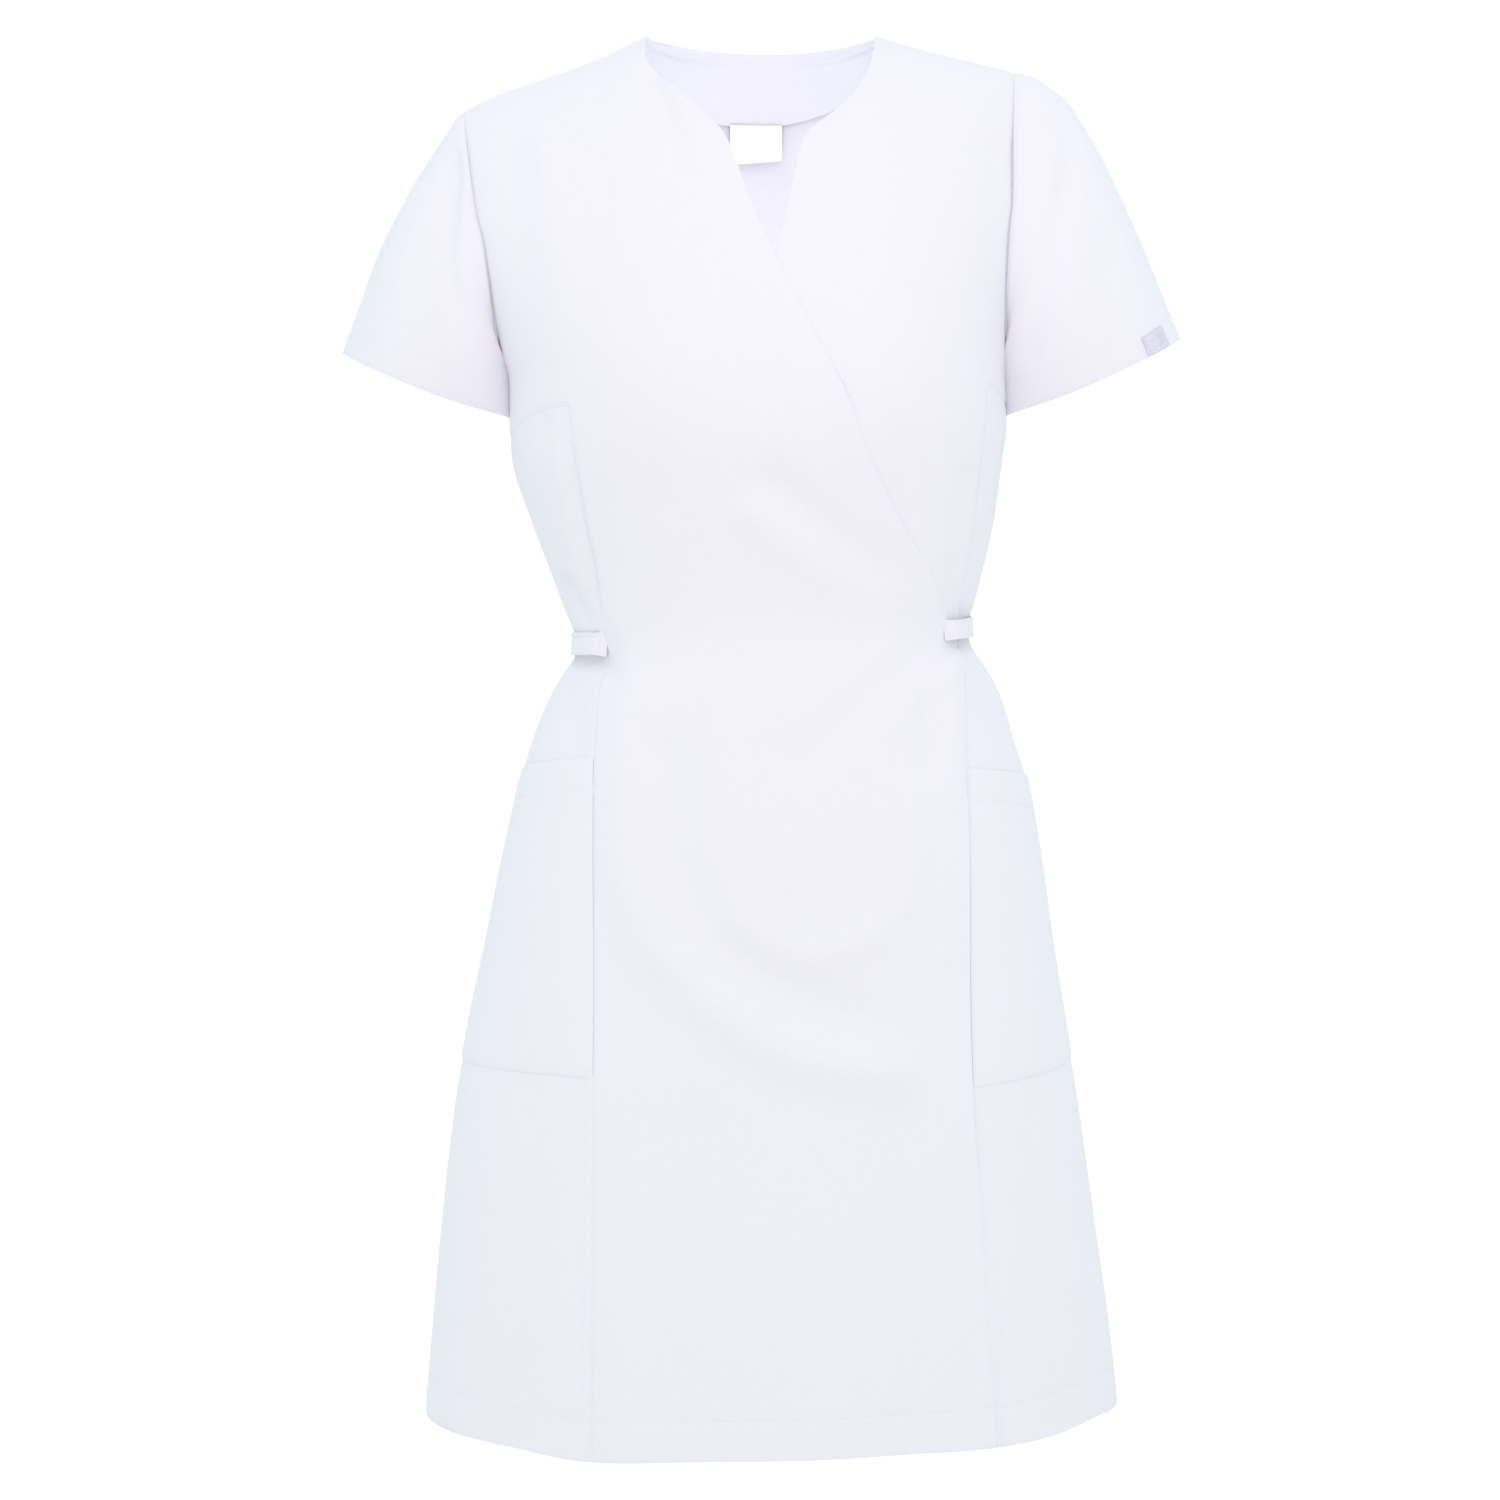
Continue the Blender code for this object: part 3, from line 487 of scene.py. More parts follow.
BACK_SIDE = shares(95, STEP + 0.4)[:-1]
BACK_NECK = 2 * shares(152, STEP + 0.4, fine=(0, 1.5)) - 1
angle, up = back_grid(BACK_SIDE, BACK_NECK, BACK_SIDE, rows_down(TOP, climb(HEM_LEVEL), STEP + 0.4))
points, out = lay_back(angle, up)
above = height_of(up) - curve(HEM, "angle", "height", angle)
seam = np.minimum(to_side(points, 0), to_side(points, -1))
seam = np.minimum(seam, np.linalg.norm(points - points[0], axis=-1))
back_dip = SEAM_DIP * bell(seam, SEAM_WIDE) + hem_dip(above)
points -= out * back_dip[..., None]
back = make_cloth("back_panel", points, out, "back", wall=hem_wall(above))
hem_row = np.argmin(np.abs(above[:, 0] - HEM_TURN))
stitch("back_hem_stitching", points[hem_row], out[hem_row])

# ==== The two fronts ==========================================================================
# Each front is one piece from the shoulder to the hem.  The left one lies under, sewn to its side
# panel; the right one wraps over it and keeps a free edge, turned under and pressed, from the V of
# the neck down to the left hip and the hem.

WRAP = 1.7              # from the face of the under front to the face of the one that wraps over it
V_POINT = -159.0        # height at which the two necklines cross

RIGHT_PANEL_SEAM = table("height x", [
    (0, -150), (-60, -148), (-120, -142), (-180, -135), (-232, -128.5), (-254, -127), (-279, -124.5),
    (-301, -121.5), (-333, -116.8), (-355, -112.5), (-378, -109.5), (-398, -107.6), (-415, -108),
    (-436, -110.5), (-462, -112), (-481, -112.7), (-684, -112.3), (-930, -113)])
LEFT_PANEL_SEAM = table("height x", [
    (0, 122), (-60, 128), (-120, 134), (-180, 139), (-238, 141), (-286, 138.2), (-306, 137),
    (-332, 134.6), (-358, 130.8), (-377, 127.6), (-390, 126.6), (-410, 126.8), (-475, 126.4),
    (-526, 129.4), (-635, 130), (-692, 131), (-723, 132.4), (-748, 135), (-786, 138.4), (-818, 141),
    (-862, 145.3), (-930, 149)])
PANEL_SEAM = {RIGHT: RIGHT_PANEL_SEAM, LEFT: LEFT_PANEL_SEAM}
# Free edge of the front that wraps over: neckline, point of the V, wrap edge, then the skirt's edge
OVER_EDGE = table("height x", [
    (0, -80), (-19, -81), (-35, -71), (-49, -57.7), (-61, -44.5), (-76, -30), (-91, -23),
    (-128, -10.7), (-159, 3.4), (-243, 45.2), (-259, 52.9), (-278, 59.3), (-296, 67.7), (-328, 83.9),
    (-353, 100.4), (-378, 114.2), (-390, 118), (-410, 126), (-475, 125.6), (-526, 128.6),
    (-635, 129.2), (-692, 130.2), (-723, 131.3), (-748, 133.7), (-786, 136.1), (-818, 137.2),
    (-875, 141.5), (-930, 144.5)])
# Free edge of the front that lies under it, hidden below the V
UNDER_EDGE = table("height x", [
    (0, 71.5), (-22, 68), (-42, 59), (-59, 45.4), (-76, 25.6), (-87, 20.3), (-125, 12.4),
    (-159, 4), (-185, -10), (-243, -38), (-278, -52), (-328, -77), (-353, -90), (-378, -97),
    (-410, -98), (-475, -102), (-684, -103), (-930, -104)])
# Lowest seam of the chest, over the side panel: height at the bust point and at the side seam
BUST_SEAM = {RIGHT: (-254.0, -268.0), LEFT: (-239.0, -250.0)}

FRONT_FOLDS = [         # wide, first rise, last rise, route of (x, z)
    (54, 6, 6, [(-88, -238), (-84, -238)]),                 # fullness of the bust
    (54, 6, 6, [(82, -236), (86, -236)]),
    (5, -4.2, -3.0, [(-134, -366), (-126, -382), (-117, -390)]),    # tuck above the belt's right end
    (10, -2.5, -2.5, [(-132, -420), (-124, -470)]),
    (13, -2.6, -4.0, [(110, -407), (92, -422), (71, -437), (24, -480)]),    # drag from the left end
    (9, 3.0, 0.4, [(118, -418), (96, -440), (62, -472)]),
    (9, -2.5, -2.5, [(128, -300), (122, -380)]),
    (4, -2.6, -2.6, [(-136, -414), (-106, -417)]),          # under the ends of the belt
    (4, -2.6, -2.6, [(116, -409), (136, -403)]),
    (17, 4.8, 6.2, [(-93, -440), (-94, -530), (-82, -585), (-56, -618), (-21, -648), (24, -672),
                    (74, -680)]),                           # swag of the skirt and the hollow above it
    (16, -3.0, -3.6, [(-62, -480), (-58, -540), (-38, -584), (0, -620), (50, -642)]),
    (13, 2.8, 3.4, [(-20, -585), (20, -606), (62, -596), (92, -556), (100, -505)]),
    (11, 4.2, 1.6, [(117, -424), (118, -500), (119, -602)]),
    (10, -3.4, 0.0, [(102, -446), (104, -520), (104, -620)]),
    (9, -3.4, -0.4, [(-104, -414), (-88, -448), (-70, -484)]),
    (8, -2.2, 0.0, [(-106, -424), (-100, -470), (-98, -500)]),
    (13, -3.2, -2.0, [(4, -306), (39, -334), (72, -356)]),  # drags from the bust to the waist
    (13, 3.0, 0.8, [(-10, -326), (22, -352), (60, -378)]),
    (12, 2.2, 0.4, [(-96, -392), (-70, -350), (-60, -300)]),
    (7, -3.2, 0.0, [(-74, -40), (-62, -72), (-56, -112)]),  # falls from the right neck point
    (7, 2.8, 0.0, [(-64, -44), (-50, -78), (-40, -112)]),
    (14, -2.4, -0.4, [(-168, -88), (-160, -150), (-152, -214)]),    # beside the armholes
    (12, 2.0, 0.4, [(-146, -80), (-140, -150), (-136, -206)]),
    (14, -2.4, -0.4, [(150, -84), (146, -150), (142, -212)]),
    (18, 1.2, 2.8, [(-92, -690), (-94, -800), (-96, -915)]),        # flutes of the skirt
    (24, -1.2, -3.0, [(-40, -720), (-42, -820), (-44, -920)]),
    (26, 1.0, 3.0, [(28, -730), (32, -830), (36, -920)]),
    (18, -1.0, -2.2, [(88, -720), (92, -820), (96, -915)])]


def edge_angle(edge, height):
    """Angle round the front of a seam or free edge given by its x at each height."""
    return angle_at(curve(edge, "height", "x", height), height)


def lay_front(angle, up, folds=FRONT_FOLDS, lift=0.0):
    """Points and normals of the outer face of a front piece, with its folds."""
    points = body(angle, up)
    out = outward(points, points * (0, 0, 1))
    weight = ease(2.2 * oval(angle)[1]) * ease(4 * over_shoulder(up)[1])
    points = settle(points, out, folds, weight)
    return points + out * np.broadcast_to(lift, angle.shape)[..., None], out


def front_grid(side, edge, chest, centre):
    """Angles, climbs and kept cells of a front: chest and centre in one, no side panel."""
    at_point, at_side = BUST_SEAM[side]
    at_point_up = climb(at_point)
    upper = TOP + (at_point_up - TOP) * shares(TOP - at_point_up)
    lower = rows_down(at_point_up, climb(HEM_LEVEL))
    level = height_of(np.concatenate((upper, lower[1:])))[:, None]
    level[upper.size - 1] = at_point
    sag = np.clip((V_POINT - level) / (V_POINT - at_point), 0, 1) * (at_side - at_point)
    inside = edge_angle(edge, level)
    guide = edge_angle(PANEL_SEAM[side], level)
    outside = side * armhole_angle(level + sag)
    chest = chest[None, :-1]
    angle = np.hstack((outside + (guide - outside) * chest, guide + (inside - guide) * centre[None, :]))
    height = level + sag * np.hstack((ease(1 - chest), 0 * centre[None, :]))
    up = np.where(level > SKIRT_TOP, climb(height), climb(on_hem(angle, level)))
    keep = np.ones((level.size - 1, angle.shape[1] - 1), dtype=bool)
    keep[upper.size - 1:, :chest.size] = False
    return angle, up, keep, upper.size - 1


def wrap_share(x):
    """Share of the wrap's lift that the over front has reached, from the right panel seam on."""
    return ease((x + 90) / 90)


def front_dip(points, angle, up, keep, bust_row, chest):
    """How far the seams of a front draw it in, and its thickness at the panel seam."""
    above = height_of(up) - curve(HEM, "angle", "height", angle)
    rows = np.arange(len(points))[:, None]
    high = rows <= bust_row
    columns = np.arange(angle.shape[1])[None, :]
    panel = np.where(rows >= bust_row, to_side(points, chest), 1e3)
    armhole = np.where(high, to_side(points, 0), 1e3)
    bust = np.where((columns <= chest) & high, np.linalg.norm(points - points[bust_row], axis=-1), 1e3)
    shoulder = np.linalg.norm(points - points[0], axis=-1)
    seam = np.minimum(np.minimum(panel, armhole), np.minimum(bust, shoulder))
    free = to_side(points, -1)
    pressed = 0.45 * bell(free, 1.1) + 0.25 * bell(free - 6.5, 1.2) * (height_of(up) > -160)
    wall = hem_wall(above) + TURNED * ease((12 - free) / 1.5) + 2.2 * bell(panel, 1.4)
    return SEAM_DIP * bell(seam, SEAM_WIDE) + hem_dip(above) + pressed, wall, above, free


CHEST = shares(52, STEP)
for name, side, edge, node_name, centre in (
        ("left_front_panel", LEFT, UNDER_EDGE, "front_under", shares(235, STEP + 0.8)),
        ("right_front_panel", RIGHT, OVER_EDGE, "front_over", shares(240, STEP))):
    angle, up, keep, bust_row = front_grid(side, edge, CHEST, centre)
    x = body(angle, up)[..., 0]
    over = side == RIGHT
    lift = WRAP * (wrap_share(x) if over else wrap_share(x) - 1)
    points, out = lay_front(angle, up, lift=lift)
    dip, wall, above, free = front_dip(points, angle, up, keep, bust_row, CHEST.size - 1)
    if over:
        height = height_of(up)
        flat = 0.7 * ease((10 - free) / 8) * (height < V_POINT)
        loose = 1.6 * bell(height + 246, 12) + 1.0 * bell(height + 330, 20) + 1.4 * bell(height + 905, 30)
        dip += flat - loose * bell(free, 9)
    points -= out * dip[..., None]
    front = make_cloth(name, points, out, node_name, wall=wall, keep=keep)
    hem_row = np.argmin(np.abs(above[:, -1] - HEM_TURN))
    if over:
        stitch("right_front_hem_stitching", points[hem_row, CHEST.size:], out[hem_row, CHEST.size:])

# ==== Side panels =============================================================================
# Under the bust each side has a panel of its own from the panel seam to the side seam, eased in at
# the waist.  The front's seam allowance lies under it, so the panel sits a little lower there, and a
# row of topstitching runs along the left seam.

SIDE_FOLDS = FRONT_FOLDS + [
    (7, -0.8, -3.0, [(-130.5, -262), (-125, -301), (-116.5, -355), (-114, -376)]),
    (7, -0.6, -2.6, [(143.5, -252), (141, -300), (135, -350), (131, -388)]),
    (5, -1.6, 0.0, [(-144, -262), (-143, -292)]),
    (6, 1.5, 0.0, [(-136, -290), (-134, -330), (-126, -372)]),
    (9, -1.6, 0.0, [(-118, -420), (-126, -450), (-136, -480)]),
    (8, 1.2, 0.0, [(-122, -408), (-136, -440), (-150, -480)]),
    (9, -1.4, 0.0, [(134, -420), (142, -450), (152, -480)]),
    (18, -1.2, -1.8, [(-150, -700), (-158, -800), (-166, -905)]),
    (16, 1.4, 2.2, [(-182, -700), (-192, -800), (-202, -905)]),
    (18, -1.2, -2.0, [(168, -700), (178, -800), (188, -900)]),
    (14, 1.2, 1.8, [(196, -700), (208, -800), (218, -900)])]
SIDE_WIDTH = 105.0      # usual width of a side panel
SIDE = shares(SIDE_WIDTH, STEP)
TOPSTITCH = 3.6         # from a panel seam to the topstitching beside it


def side_grid(side, top, bottom, down):
    """Angles and climbs of a piece of a side panel, between heights given at each share across."""
    height = top + (bottom - top) * down[:, None]
    seam = edge_angle(PANEL_SEAM[side], height[:, :1])
    angle = seam + (side * 90.0 - seam) * SIDE[None, :]
    return angle, climb(height)


for name, side, node_name in (("right_side_panel", RIGHT, "side_panel_right"),
                              ("left_side_panel", LEFT, "side_panel_left")):
    at_point, at_side = BUST_SEAM[side]
    top = at_point + (at_side - at_point) * ease(SIDE)
    hem_angles = side_grid(side, top, top * 0 + HEM_LEVEL, np.array([0.0, 1.0]))[0][1]
    hem = curve(HEM, "angle", "height", hem_angles)
    down = shares(650, STEP)
    stitched = 1 - (HEM_TURN + np.array([-2, -0.9, 0, 0.9, 2])) / 655
    down = np.sort(np.concatenate((down[np.abs(down - stitched[2]) > 0.005], stitched)))
    angle, up = side_grid(side, top, hem, down)
    points, out = lay_front(angle, up, SIDE_FOLDS)
    above = height_of(up) - hem
    seam = np.minimum(to_side(points, 0), to_side(points, -1))
    seam = np.minimum(seam, np.linalg.norm(points - points[0], axis=-1))
    dip = SEAM_DIP * bell(seam, SEAM_WIDE) + hem_dip(above)
    dip += STITCH_DIP * bell(to_side(points, 0) - TOPSTITCH, 0.9)
    points -= out * dip[..., None]
    panel = make_cloth(name, points, out, node_name, wall=hem_wall(above) + 0.8 * bell(seam, 1.5))
    hem_row = np.argmin(np.abs(above[:, 0] - HEM_TURN))
    stitch(f"{name}_hem_stitching", points[hem_row], out[hem_row])
    column = np.argmin(np.abs(to_side(points, 0)[len(points) // 2] - TOPSTITCH))
    stitch(f"{name}_topstitching", points[:-8, column], out[:-8, column])

# ==== Patch pockets ===========================================================================
# Each pocket is one layer of poplin laid on its side panel.  Its sides are caught in the panel seam
# and the side seam, its lower edge is turned under and edge-stitched, and its mouth is hemmed and
# stands a little open.

# Heights of the mouth and of the lower edge, each at the panel seam and at the side seam
POCKET_HEIGHTS = {RIGHT: ((-479.5, -488.0), (-684.0, -678.0)),
                  LEFT: ((-487.0, -493.0), (-691.0, -676.0))}
POCKET_HEM = 22.0

for name, side, node_name in (("right_pocket", RIGHT, "pocket_right"),
                              ("left_pocket", LEFT, "pocket_left")):
    tops, bottoms = POCKET_HEIGHTS[side]
    top = tops[0] + (tops[1] - tops[0]) * SIDE
    bottom = bottoms[0] + (bottoms[1] - bottoms[0]) * SIDE
    length = tops[0] - bottoms[0]
    down = shares(length, STEP)
    hemmed = (POCKET_HEM + np.array([-1, 0, 1])) / length
    down = np.sort(np.concatenate((down[np.abs(down - hemmed[1]) > 0.012], hemmed)))
    angle, up = side_grid(side, top, bottom, down)
    across = np.sin(np.pi * SIDE)[None, :]
    mouth = np.maximum(bell(down, 0.16), 0.55 * np.sin(np.pi * np.clip(down, 0, 1)))[:, None]
    inside = ease(SIDE_WIDTH * np.minimum(SIDE, 1 - SIDE) / 5)[None, :]
    lift = 0.5 + 0.6 * inside + 1.0 * across ** 0.8 * mouth
    points, out = lay_front(angle, up, SIDE_FOLDS, lift)
    from_top = np.linalg.norm(points - points[0], axis=-1)
    from_end = np.linalg.norm(points - points[-1], axis=-1)
    seam = np.minimum(to_side(points, 0), to_side(points, -1))
    dip = SEAM_DIP * bell(seam, SEAM_WIDE) + STITCH_DIP * bell(from_end - 2, 0.9)
    dip += STITCH_DIP * bell(from_top - POCKET_HEM, 1.2) + 0.3 * bell(from_top, 1) + 0.7 * bell(from_end, 1)
    points -= out * dip[..., None]
    wall = 0.35 + 0.45 * inside + 0.6 * ease((POCKET_HEM - from_top) / 2) * across
    pocket = make_cloth(name, points, out, node_name, wall=wall)
    edge_row = np.argmin(np.abs(from_end[:, 10] - 2))
    stitch(f"{name}_edge_stitching", points[edge_row, 1:-1], out[edge_row, 1:-1])
    hem_row = np.argmin(np.abs(from_top[:, 10] - POCKET_HEM))
    stitch(f"{name}_mouth_stitching", points[hem_row, 1:-1], out[hem_row, 1:-1])

# ==== Half belt ===============================================================================
# A strip folded double and edge-stitched on both sides, caught in the two panel seams at the waist
# and drawn round the back, which it gathers.

BELT = table("angle top bottom", [(58, -390, -404), (90, -386, -400), (180, -391, -406),
                                  (270, -396.5, -412), (303, -398, -414)])
BELT_WIDTH = 14.5
BELT_LIFT = 2.6
BELT_STITCHES = {"upper": 2.4, "lower": 12.1}       # distances from its upper edge
BELT_ENDS = (114.5, -106.0)     # x of its ends in front: the left one lies on the wrap's edge

ends = [float(angle_at(np.array(x), np.array(-400.0))) for x in BELT_ENDS]
around = np.concatenate((np.linspace(ends[0], 90, 30), np.linspace(90, 270, 150)[1:-1],
                         np.linspace(270, 360 + ends[1], 24)))
down = shares(BELT_WIDTH, 1.6, fine=(0, 0.6, 1.5, 2.4))[:, None]
top, bottom = curve(BELT, "angle", "top", around), curve(BELT, "angle", "bottom", around)
height = top + (bottom - top) * down
up = climb(height)
angle = np.tile(around, (len(down), 1))
points = body(angle, up)
out = outward(points, points * (0, 0, 1))
from_end = np.minimum(to_side(points, 0), to_side(points, -1))
sewn = sum(bell(BELT_WIDTH * down - place, 0.8) for place in BELT_STITCHES.values())
puff = 0.5 * np.sin(np.pi * down) ** 0.5 - 0.35 * sewn
wave = 0.5 * np.sin(around / 9) + 0.4 * np.sin(around / 4 + 1)
on_wrap = ease((132 - points[..., 0]) / 8) * (points[..., 0] > 0) * (points[..., 1] < 0)
caught = 5.0 * bell(from_end, 4)        # its ends dive into the panel seams
lift = BELT_LIFT + puff + wave[None, :] - caught + 2.2 * on_wrap + 0.8 * down ** 2
points = points + out * lift[..., None]
belt = make_cloth("half_belt", points, out, "belt", wall=2.0 - 1.5 * bell(from_end, 6))
for edge, place in BELT_STITCHES.items():
    row = np.argmin(np.abs(BELT_WIDTH * down - place))
    stitch(f"belt_{edge}_stitching", points[row], out[row])

# ==== Sleeves =================================================================================
# Short set-in sleeves, each one piece with its seam at the underarm.  Their heads are eased into the
# armholes and stand a little full; their hems are turned up 20 mm and stitched.

SLEEVE = {
    RIGHT: {"outer": (-283.5, -210.0), "inner": (-173.4, -255.0), "half_depth": 47.0, "drop": 6.5},
    LEFT: {"outer": (274.8, -200.4), "inner": (160.0, -254.0), "half_depth": 48.0, "drop": 6.5}}
# How far the crown of each sleeve stands out from the straight line between armhole and hem
SLEEVE_CROWN = table("along right left", [(0, 0, 0), (0.08, 3, 12.5), (0.2, 6, 20.5), (0.35, 8, 20),
                                          (0.55, 8, 15.5), (0.8, 4, 7), (1, 0, 0)])
SLEEVE_SWELL = 7.0
SLEEVE_HUG = 8.5        # how far it fills the corner between arm and side
SLEEVE_HEM = 20.0
SLEEVE_FOLDS = {
    RIGHT: [
        (8, -4.0, -1.0, [(-206, -92), (-208, -128), (-208, -160), (-197, -196)]),
        (7, 2.8, 0.6, [(-197, -110), (-199, -160), (-190, -184)]),
        (14, 2.0, 0.8, [(-232, -120), (-246, -180), (-252, -224)]),
        (12, -2.0, 0.2, [(-222, -150), (-226, -200), (-226, -236)])],
    LEFT: [
        (9, -3.8, -1.8, [(197, -68), (193, -114), (188, -150), (178, -186), (170, -214)]),
        (7, 2.2, 0.4, [(190, -80), (182, -124)]),
        (14, 3.0, 0.8, [(200, -136), (199, -172), (198, -204)]),
        (10, -2.2, 0.0, [(222, -140), (226, -180), (228, -216)]),
        (5, -1.6, -0.6, [(193, -46), (196, -58)])]}


def on_armhole(turn):
    """Angle round the body and length up it of the armhole seam, and the share of its height."""
    folded = np.abs((turn + 180) % 360 - 180)
    share = (1 + np.cos(np.radians(folded))) / 2
    angle = curve(ARMHOLE, "turn", "angle", folded)
    angle = np.where(turn % 360 <= 180, angle, 180 - angle)
    return angle, climb(UNDERARM * (1 - share)), share


def sleeve(side, turn, along):
    """Points of the outer face of a sleeve: turn 0 is its crown, 90 its front, 180 the underarm."""
    angle, up, share = on_armhole(turn)
    start = body(side * angle, up)
    cut = SLEEVE[side]
    outer, inner = np.array(cut["outer"]), np.array(cut["inner"])
    middle, reach = (outer + inner) / 2, (outer - inner) / 2
    cosine, sine = np.cos(np.radians(turn)), np.sin(np.radians(turn))
    end = np.stack((middle[0] + reach[0] * cosine, -cut["half_depth"] * sine,
                    middle[1] + reach[1] * cosine - cut["drop"] * sine), axis=-1)
    angle, up, _ = on_armhole(np.array(0.0))
    line = outer - body(side * angle, up)[[0, 2]]
    line = line / np.linalg.norm(line)
    crown_way = np.array((side * abs(line[1]), 0, abs(line[0])))
    crown = curve(SLEEVE_CROWN, "along", "right" if side == RIGHT else "left", along) * share ** 1.5
    swell = SLEEVE_SWELL * 4 * along * (1 - along) * sine
    hug = SLEEVE_HUG * bell(np.abs(turn - 180) - 30, 32) * ease(4 * along)
    along = along[..., None]
    point = start * (1 - along) + end * along + crown_way * crown[..., None]
    point[..., 0] -= side * hug
    point[..., 1] -= swell
    return point


TURNS = np.arange(0, 360, 2.6)
SLEEVE_LENGTH = 170.0
for name, side, node_name in (("right_sleeve", RIGHT, "sleeve_right"),
                              ("left_sleeve", LEFT, "sleeve_left")):
    down = shares(SLEEVE_LENGTH, STEP)
    turn, along = np.meshgrid(TURNS, down)
    points = sleeve(side, turn, along)
    centre = points.mean(axis=1, keepdims=True)
    out = outward(points, centre, closed=True)
    facing = np.sin(np.radians(turn))
    x, z = points[..., 0], points[..., 2]
    from_seam = np.linalg.norm(points - points[0], axis=-1)
    rise = fold_rise(x, z, SLEEVE_FOLDS[side]) * ease(2 * facing)
    rise += fold_rise(x + 5 * side, z, SLEEVE_FOLDS[side]) * ease(-2 * facing) + ripple(x, z)
    rise *= ease(from_seam / 12)
    rise += 1.1 * bell(SLEEVE_LENGTH * along - 5, 5) * ease((1 + np.cos(np.radians(turn))) / 1.6)
    from_hem = np.linalg.norm(points - points[-1], axis=-1)
    rise -= SEAM_DIP * bell(from_seam, SEAM_WIDE) + STITCH_DIP * bell(from_hem - SLEEVE_HEM, 1.6)
    rise -= 0.35 * bell(from_hem, 1.4)
    points = points + out * rise[..., None]
    wall = CLOTH + TURNED * ease((SLEEVE_HEM + 1 - from_hem) / 1.5)
    piece = make_cloth(name, points, out, node_name, wall=wall, closed=True)
    columns = np.arange(TURNS.size)
    hem_rows = np.argmax(from_hem < SLEEVE_HEM, axis=0)
    route, ways = points[hem_rows, columns], out[hem_rows, columns]
    stitch(f"{name}_hem_stitching", np.vstack((route, route[:1])), np.vstack((ways, ways[:1])))

# ==== Back neck facing and label ==============================================================
# A shaped facing lines the back neck, understitched close to the edge, its lower edge overlocked.
# A folded ribbon label, left bare, is caught under that edge and hangs free.

FACING_DEPTH = 45.0
FACING_END_DEPTH = 9.0      # what is left of its depth where it ends on the shoulder seams
FACING_SHOULDER = (72.0, 122.0)     # distances from the centre between which its depth falls
FACING_SINK = 3.4
FACING_LOW = 235.0          # length up the back at which its grid ends
UNDERSTITCH = 6.0


def facing_depth(x):
    """Depth of the neck facing below the neck edge or shoulder seam, over each x."""
    beyond = (np.abs(x) - FACING_SHOULDER[0]) / (FACING_SHOULDER[1] - FACING_SHOULDER[0])
    curved = FACING_DEPTH - np.minimum(8 * ((x + 12) / 55) ** 2, 12)
    return curved + (FACING_END_DEPTH - curved) * ease(beyond)


FACING_ENDS = (0.6, 0.76)
left = FACING_ENDS[0] + (1 - FACING_ENDS[0]) * shares(38, STEP)[:-1]
right = FACING_ENDS[1] + (1 - FACING_ENDS[1]) * shares(24, STEP)[:-1]
down = shares(62, 1.6)
angle, up = back_grid(left, BACK_NECK, right, TOP - (TOP - FACING_LOW) * down)
for _ in range(4):
    x = body(angle, up)[..., 0]
    edge, lower = back_climb(x, top_of(x)), back_climb(x, top_of(x) - facing_depth(x))
    up = edge + (lower - edge) * down[:, None]
points, out = lay_back(angle, up)
from_edge = np.linalg.norm(points - points[0], axis=-1)
from_lower = np.linalg.norm(points - points[-1], axis=-1)
aside = np.clip(np.abs(points[..., 0]) / 72, 0, 1)
roll = (0.6 + 1.5 * aside ** 2) * bell(from_edge - UNDERSTITCH * (1 + aside ** 2), 2.0)
roll *= ease((80 - np.abs(points[..., 0])) / 10)
sink = FACING_SINK - 2.2 * bell(from_edge, 3) + 0.6 * bell(from_lower, 4) - roll
points -= out * sink[..., None]
facing = make_cloth("back_neck_facing_cloth", points, out, "back_neck_facing",
                    wall=0.9 + 0.4 * bell(from_edge, 3))

# Ribbon of white polyester satin: long floats of thread that catch a soft shine
satin = woven("label_satin_ribbon", "#ffffff", "#fafaff", 0.5, 0.02, 0.4, 0.0)
LABEL_X = (-27.0, 10.5)
LABEL_Z = (-43.5, -67.5)
LABEL_TILT = 0.08       # rise of its free edge for each millimetre to the left
x, z = np.meshgrid(np.linspace(LABEL_X[1], LABEL_X[0], 26), np.linspace(*LABEL_Z, 22))
drop = (LABEL_Z[0] - z) / (LABEL_Z[0] - LABEL_Z[1])
across = (x - LABEL_X[0]) / (LABEL_X[1] - LABEL_X[0])
angle = 180 - angle_at(x, z)
up = back_climb(x, z + LABEL_TILT * (x + 8) * drop)
points = body(angle, up)
out = outward(points, points * (0, 0, 1))
sink = 5.3 + 2.6 * drop ** 2 + 0.7 * np.sin(np.pi * across) * drop + 1.4 * drop * across
points -= out * sink[..., None]
label = make_cloth("neck_label_ribbon", points, out, "neck_label", wall=0.7, material=satin)

# ==== Sleeve tab ==============================================================================
# A small flat tab of ribbed ribbon, left bare, sewn into the hem of the left sleeve.

TAB_TURNS = (36.0, 56.0)
TAB_ALONG = (0.925, 0.995)
grosgrain = woven("tab_ribbed_ribbon", "#e4e3f0", "#d6d5e8", 1.0, 0.25, 0.5, 0.0)
turn, along = np.meshgrid(np.linspace(*TAB_TURNS, 22), np.linspace(*TAB_ALONG, 20))
points = sleeve(LEFT, turn, along)
out = outward(points, sleeve(LEFT, np.arange(0, 360, 20.0), np.full(18, 0.95)).mean(axis=0))
points += out * 1.3
tab = make_cloth("sleeve_hem_tab", points, out, "sleeve_tab", wall=1.0, material=grosgrain)

# ==== Studio ==================================================================================
# A pale floor below the dress, a bright even surround, and soft lights in front of it and behind it.
# Sizes here are in metres.

FLOOR = -1.40           # height under the shoulders
FLOOR_RADIUS = 1.9


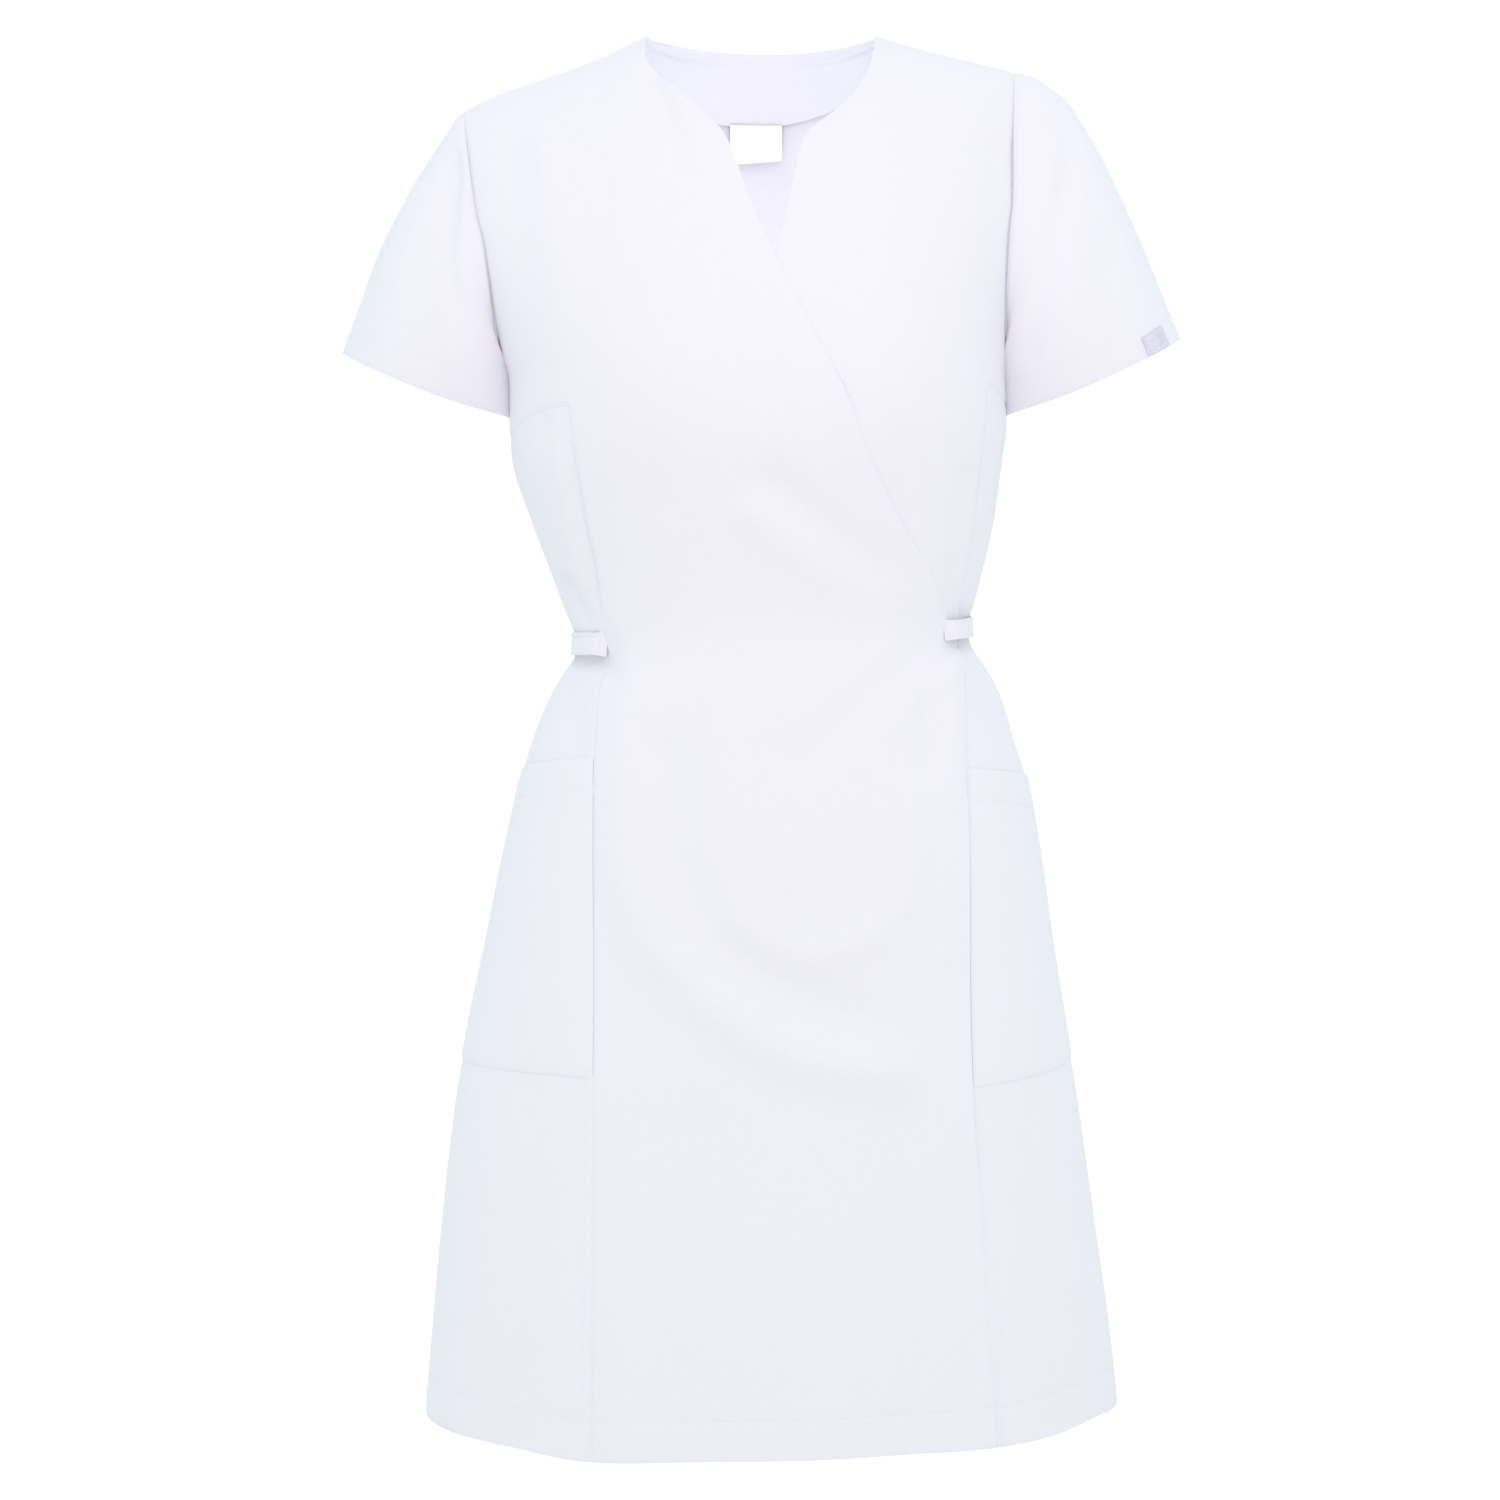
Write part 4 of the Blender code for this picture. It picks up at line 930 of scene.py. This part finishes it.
def add_object(name, data, place, turn=(0, 0, 0)):
    """Put an object of the studio in its place."""
    made = bpy.data.objects.new(name, data)
    made.location, made.rotation_euler = place, turn
    bpy.context.collection.objects.link(made)
    return made


bpy.ops.mesh.primitive_circle_add(vertices=96, radius=FLOOR_RADIUS, fill_type="NGON",
                                location=(0, 0, FLOOR))
floor = bpy.context.object
floor.name = "studio_floor"
# Rolled matt floor paint: white, a little warm, with no shine
paint = bpy.data.materials.new("matt_white_floor_paint")
paint.use_nodes = True
coat = paint.node_tree.nodes["Principled BSDF"]
coat.inputs["Base Color"].default_value = linear("#f6eded")
coat.inputs["Roughness"].default_value = 1.0
floor.data.materials.append(paint)

camera = add_object("camera", bpy.data.cameras.new("camera"), (-0.012, -2.4, -0.475), (np.pi / 2, 0, 0))
camera.data.lens = 86.4     # frames 1 m in the plane of the shoulder seams
bpy.context.scene.camera = camera

# The surround lights the dress from all sides a little coolly; behind the dress it is a white screen,
# bright enough to come out pure white
world = bpy.data.worlds.new("studio_surround")
world.use_nodes = True
tree = world.node_tree
fill = node(tree, "ShaderNodeBackground", {"Color": (0.916, 0.996, 0.998, 1), "Strength": 1.05})
screen = node(tree, "ShaderNodeBackground", {"Color": (1, 1, 1, 1), "Strength": 1.1})
ray = node(tree, "ShaderNodeLightPath")
seen = node(tree, "ShaderNodeMixShader", {0: ray.outputs["Is Camera Ray"], 1: fill.outputs[0],
                                          2: screen.outputs[0]})
tree.links.new(seen.outputs[0], tree.nodes["World Output"].inputs["Surface"])
bpy.context.scene.world = world


def add_softbox(name, place, target, size, power, colour):
    """Aim a square area light at a point of the dress, itself out of sight."""
    lamp = bpy.data.lights.new(name, "AREA")
    lamp.size, lamp.energy, lamp.color = size, power, colour
    place, target = np.array(place), np.array(target)
    way = target - place
    turn = (np.arctan2(np.hypot(way[0], way[1]), -way[2]), 0, np.arctan2(-way[0], way[1]))
    add_object(name, lamp, place, turn).visible_camera = False


add_softbox("key_softbox", (0.1, -1.3, 0.3), (0, 0, -0.4), 0.7, 3.7, (1.0, 0.52, 0.6))
add_softbox("back_softbox", (-0.35, 1.5, 0.6), (0, 0.1, -0.4), 0.7, 3.4, (1.0, 0.52, 0.6))
# Poplin lets light through, so the hollow of a real dress is bright; this lamp stands in for that
add_softbox("light_inside_the_bodice", (0, -0.02, -0.32), (0, 0.05, -0.05), 0.15, 0.32, (0.97, 1.0, 0.97))
bpy.context.scene.view_settings.view_transform = "Standard"
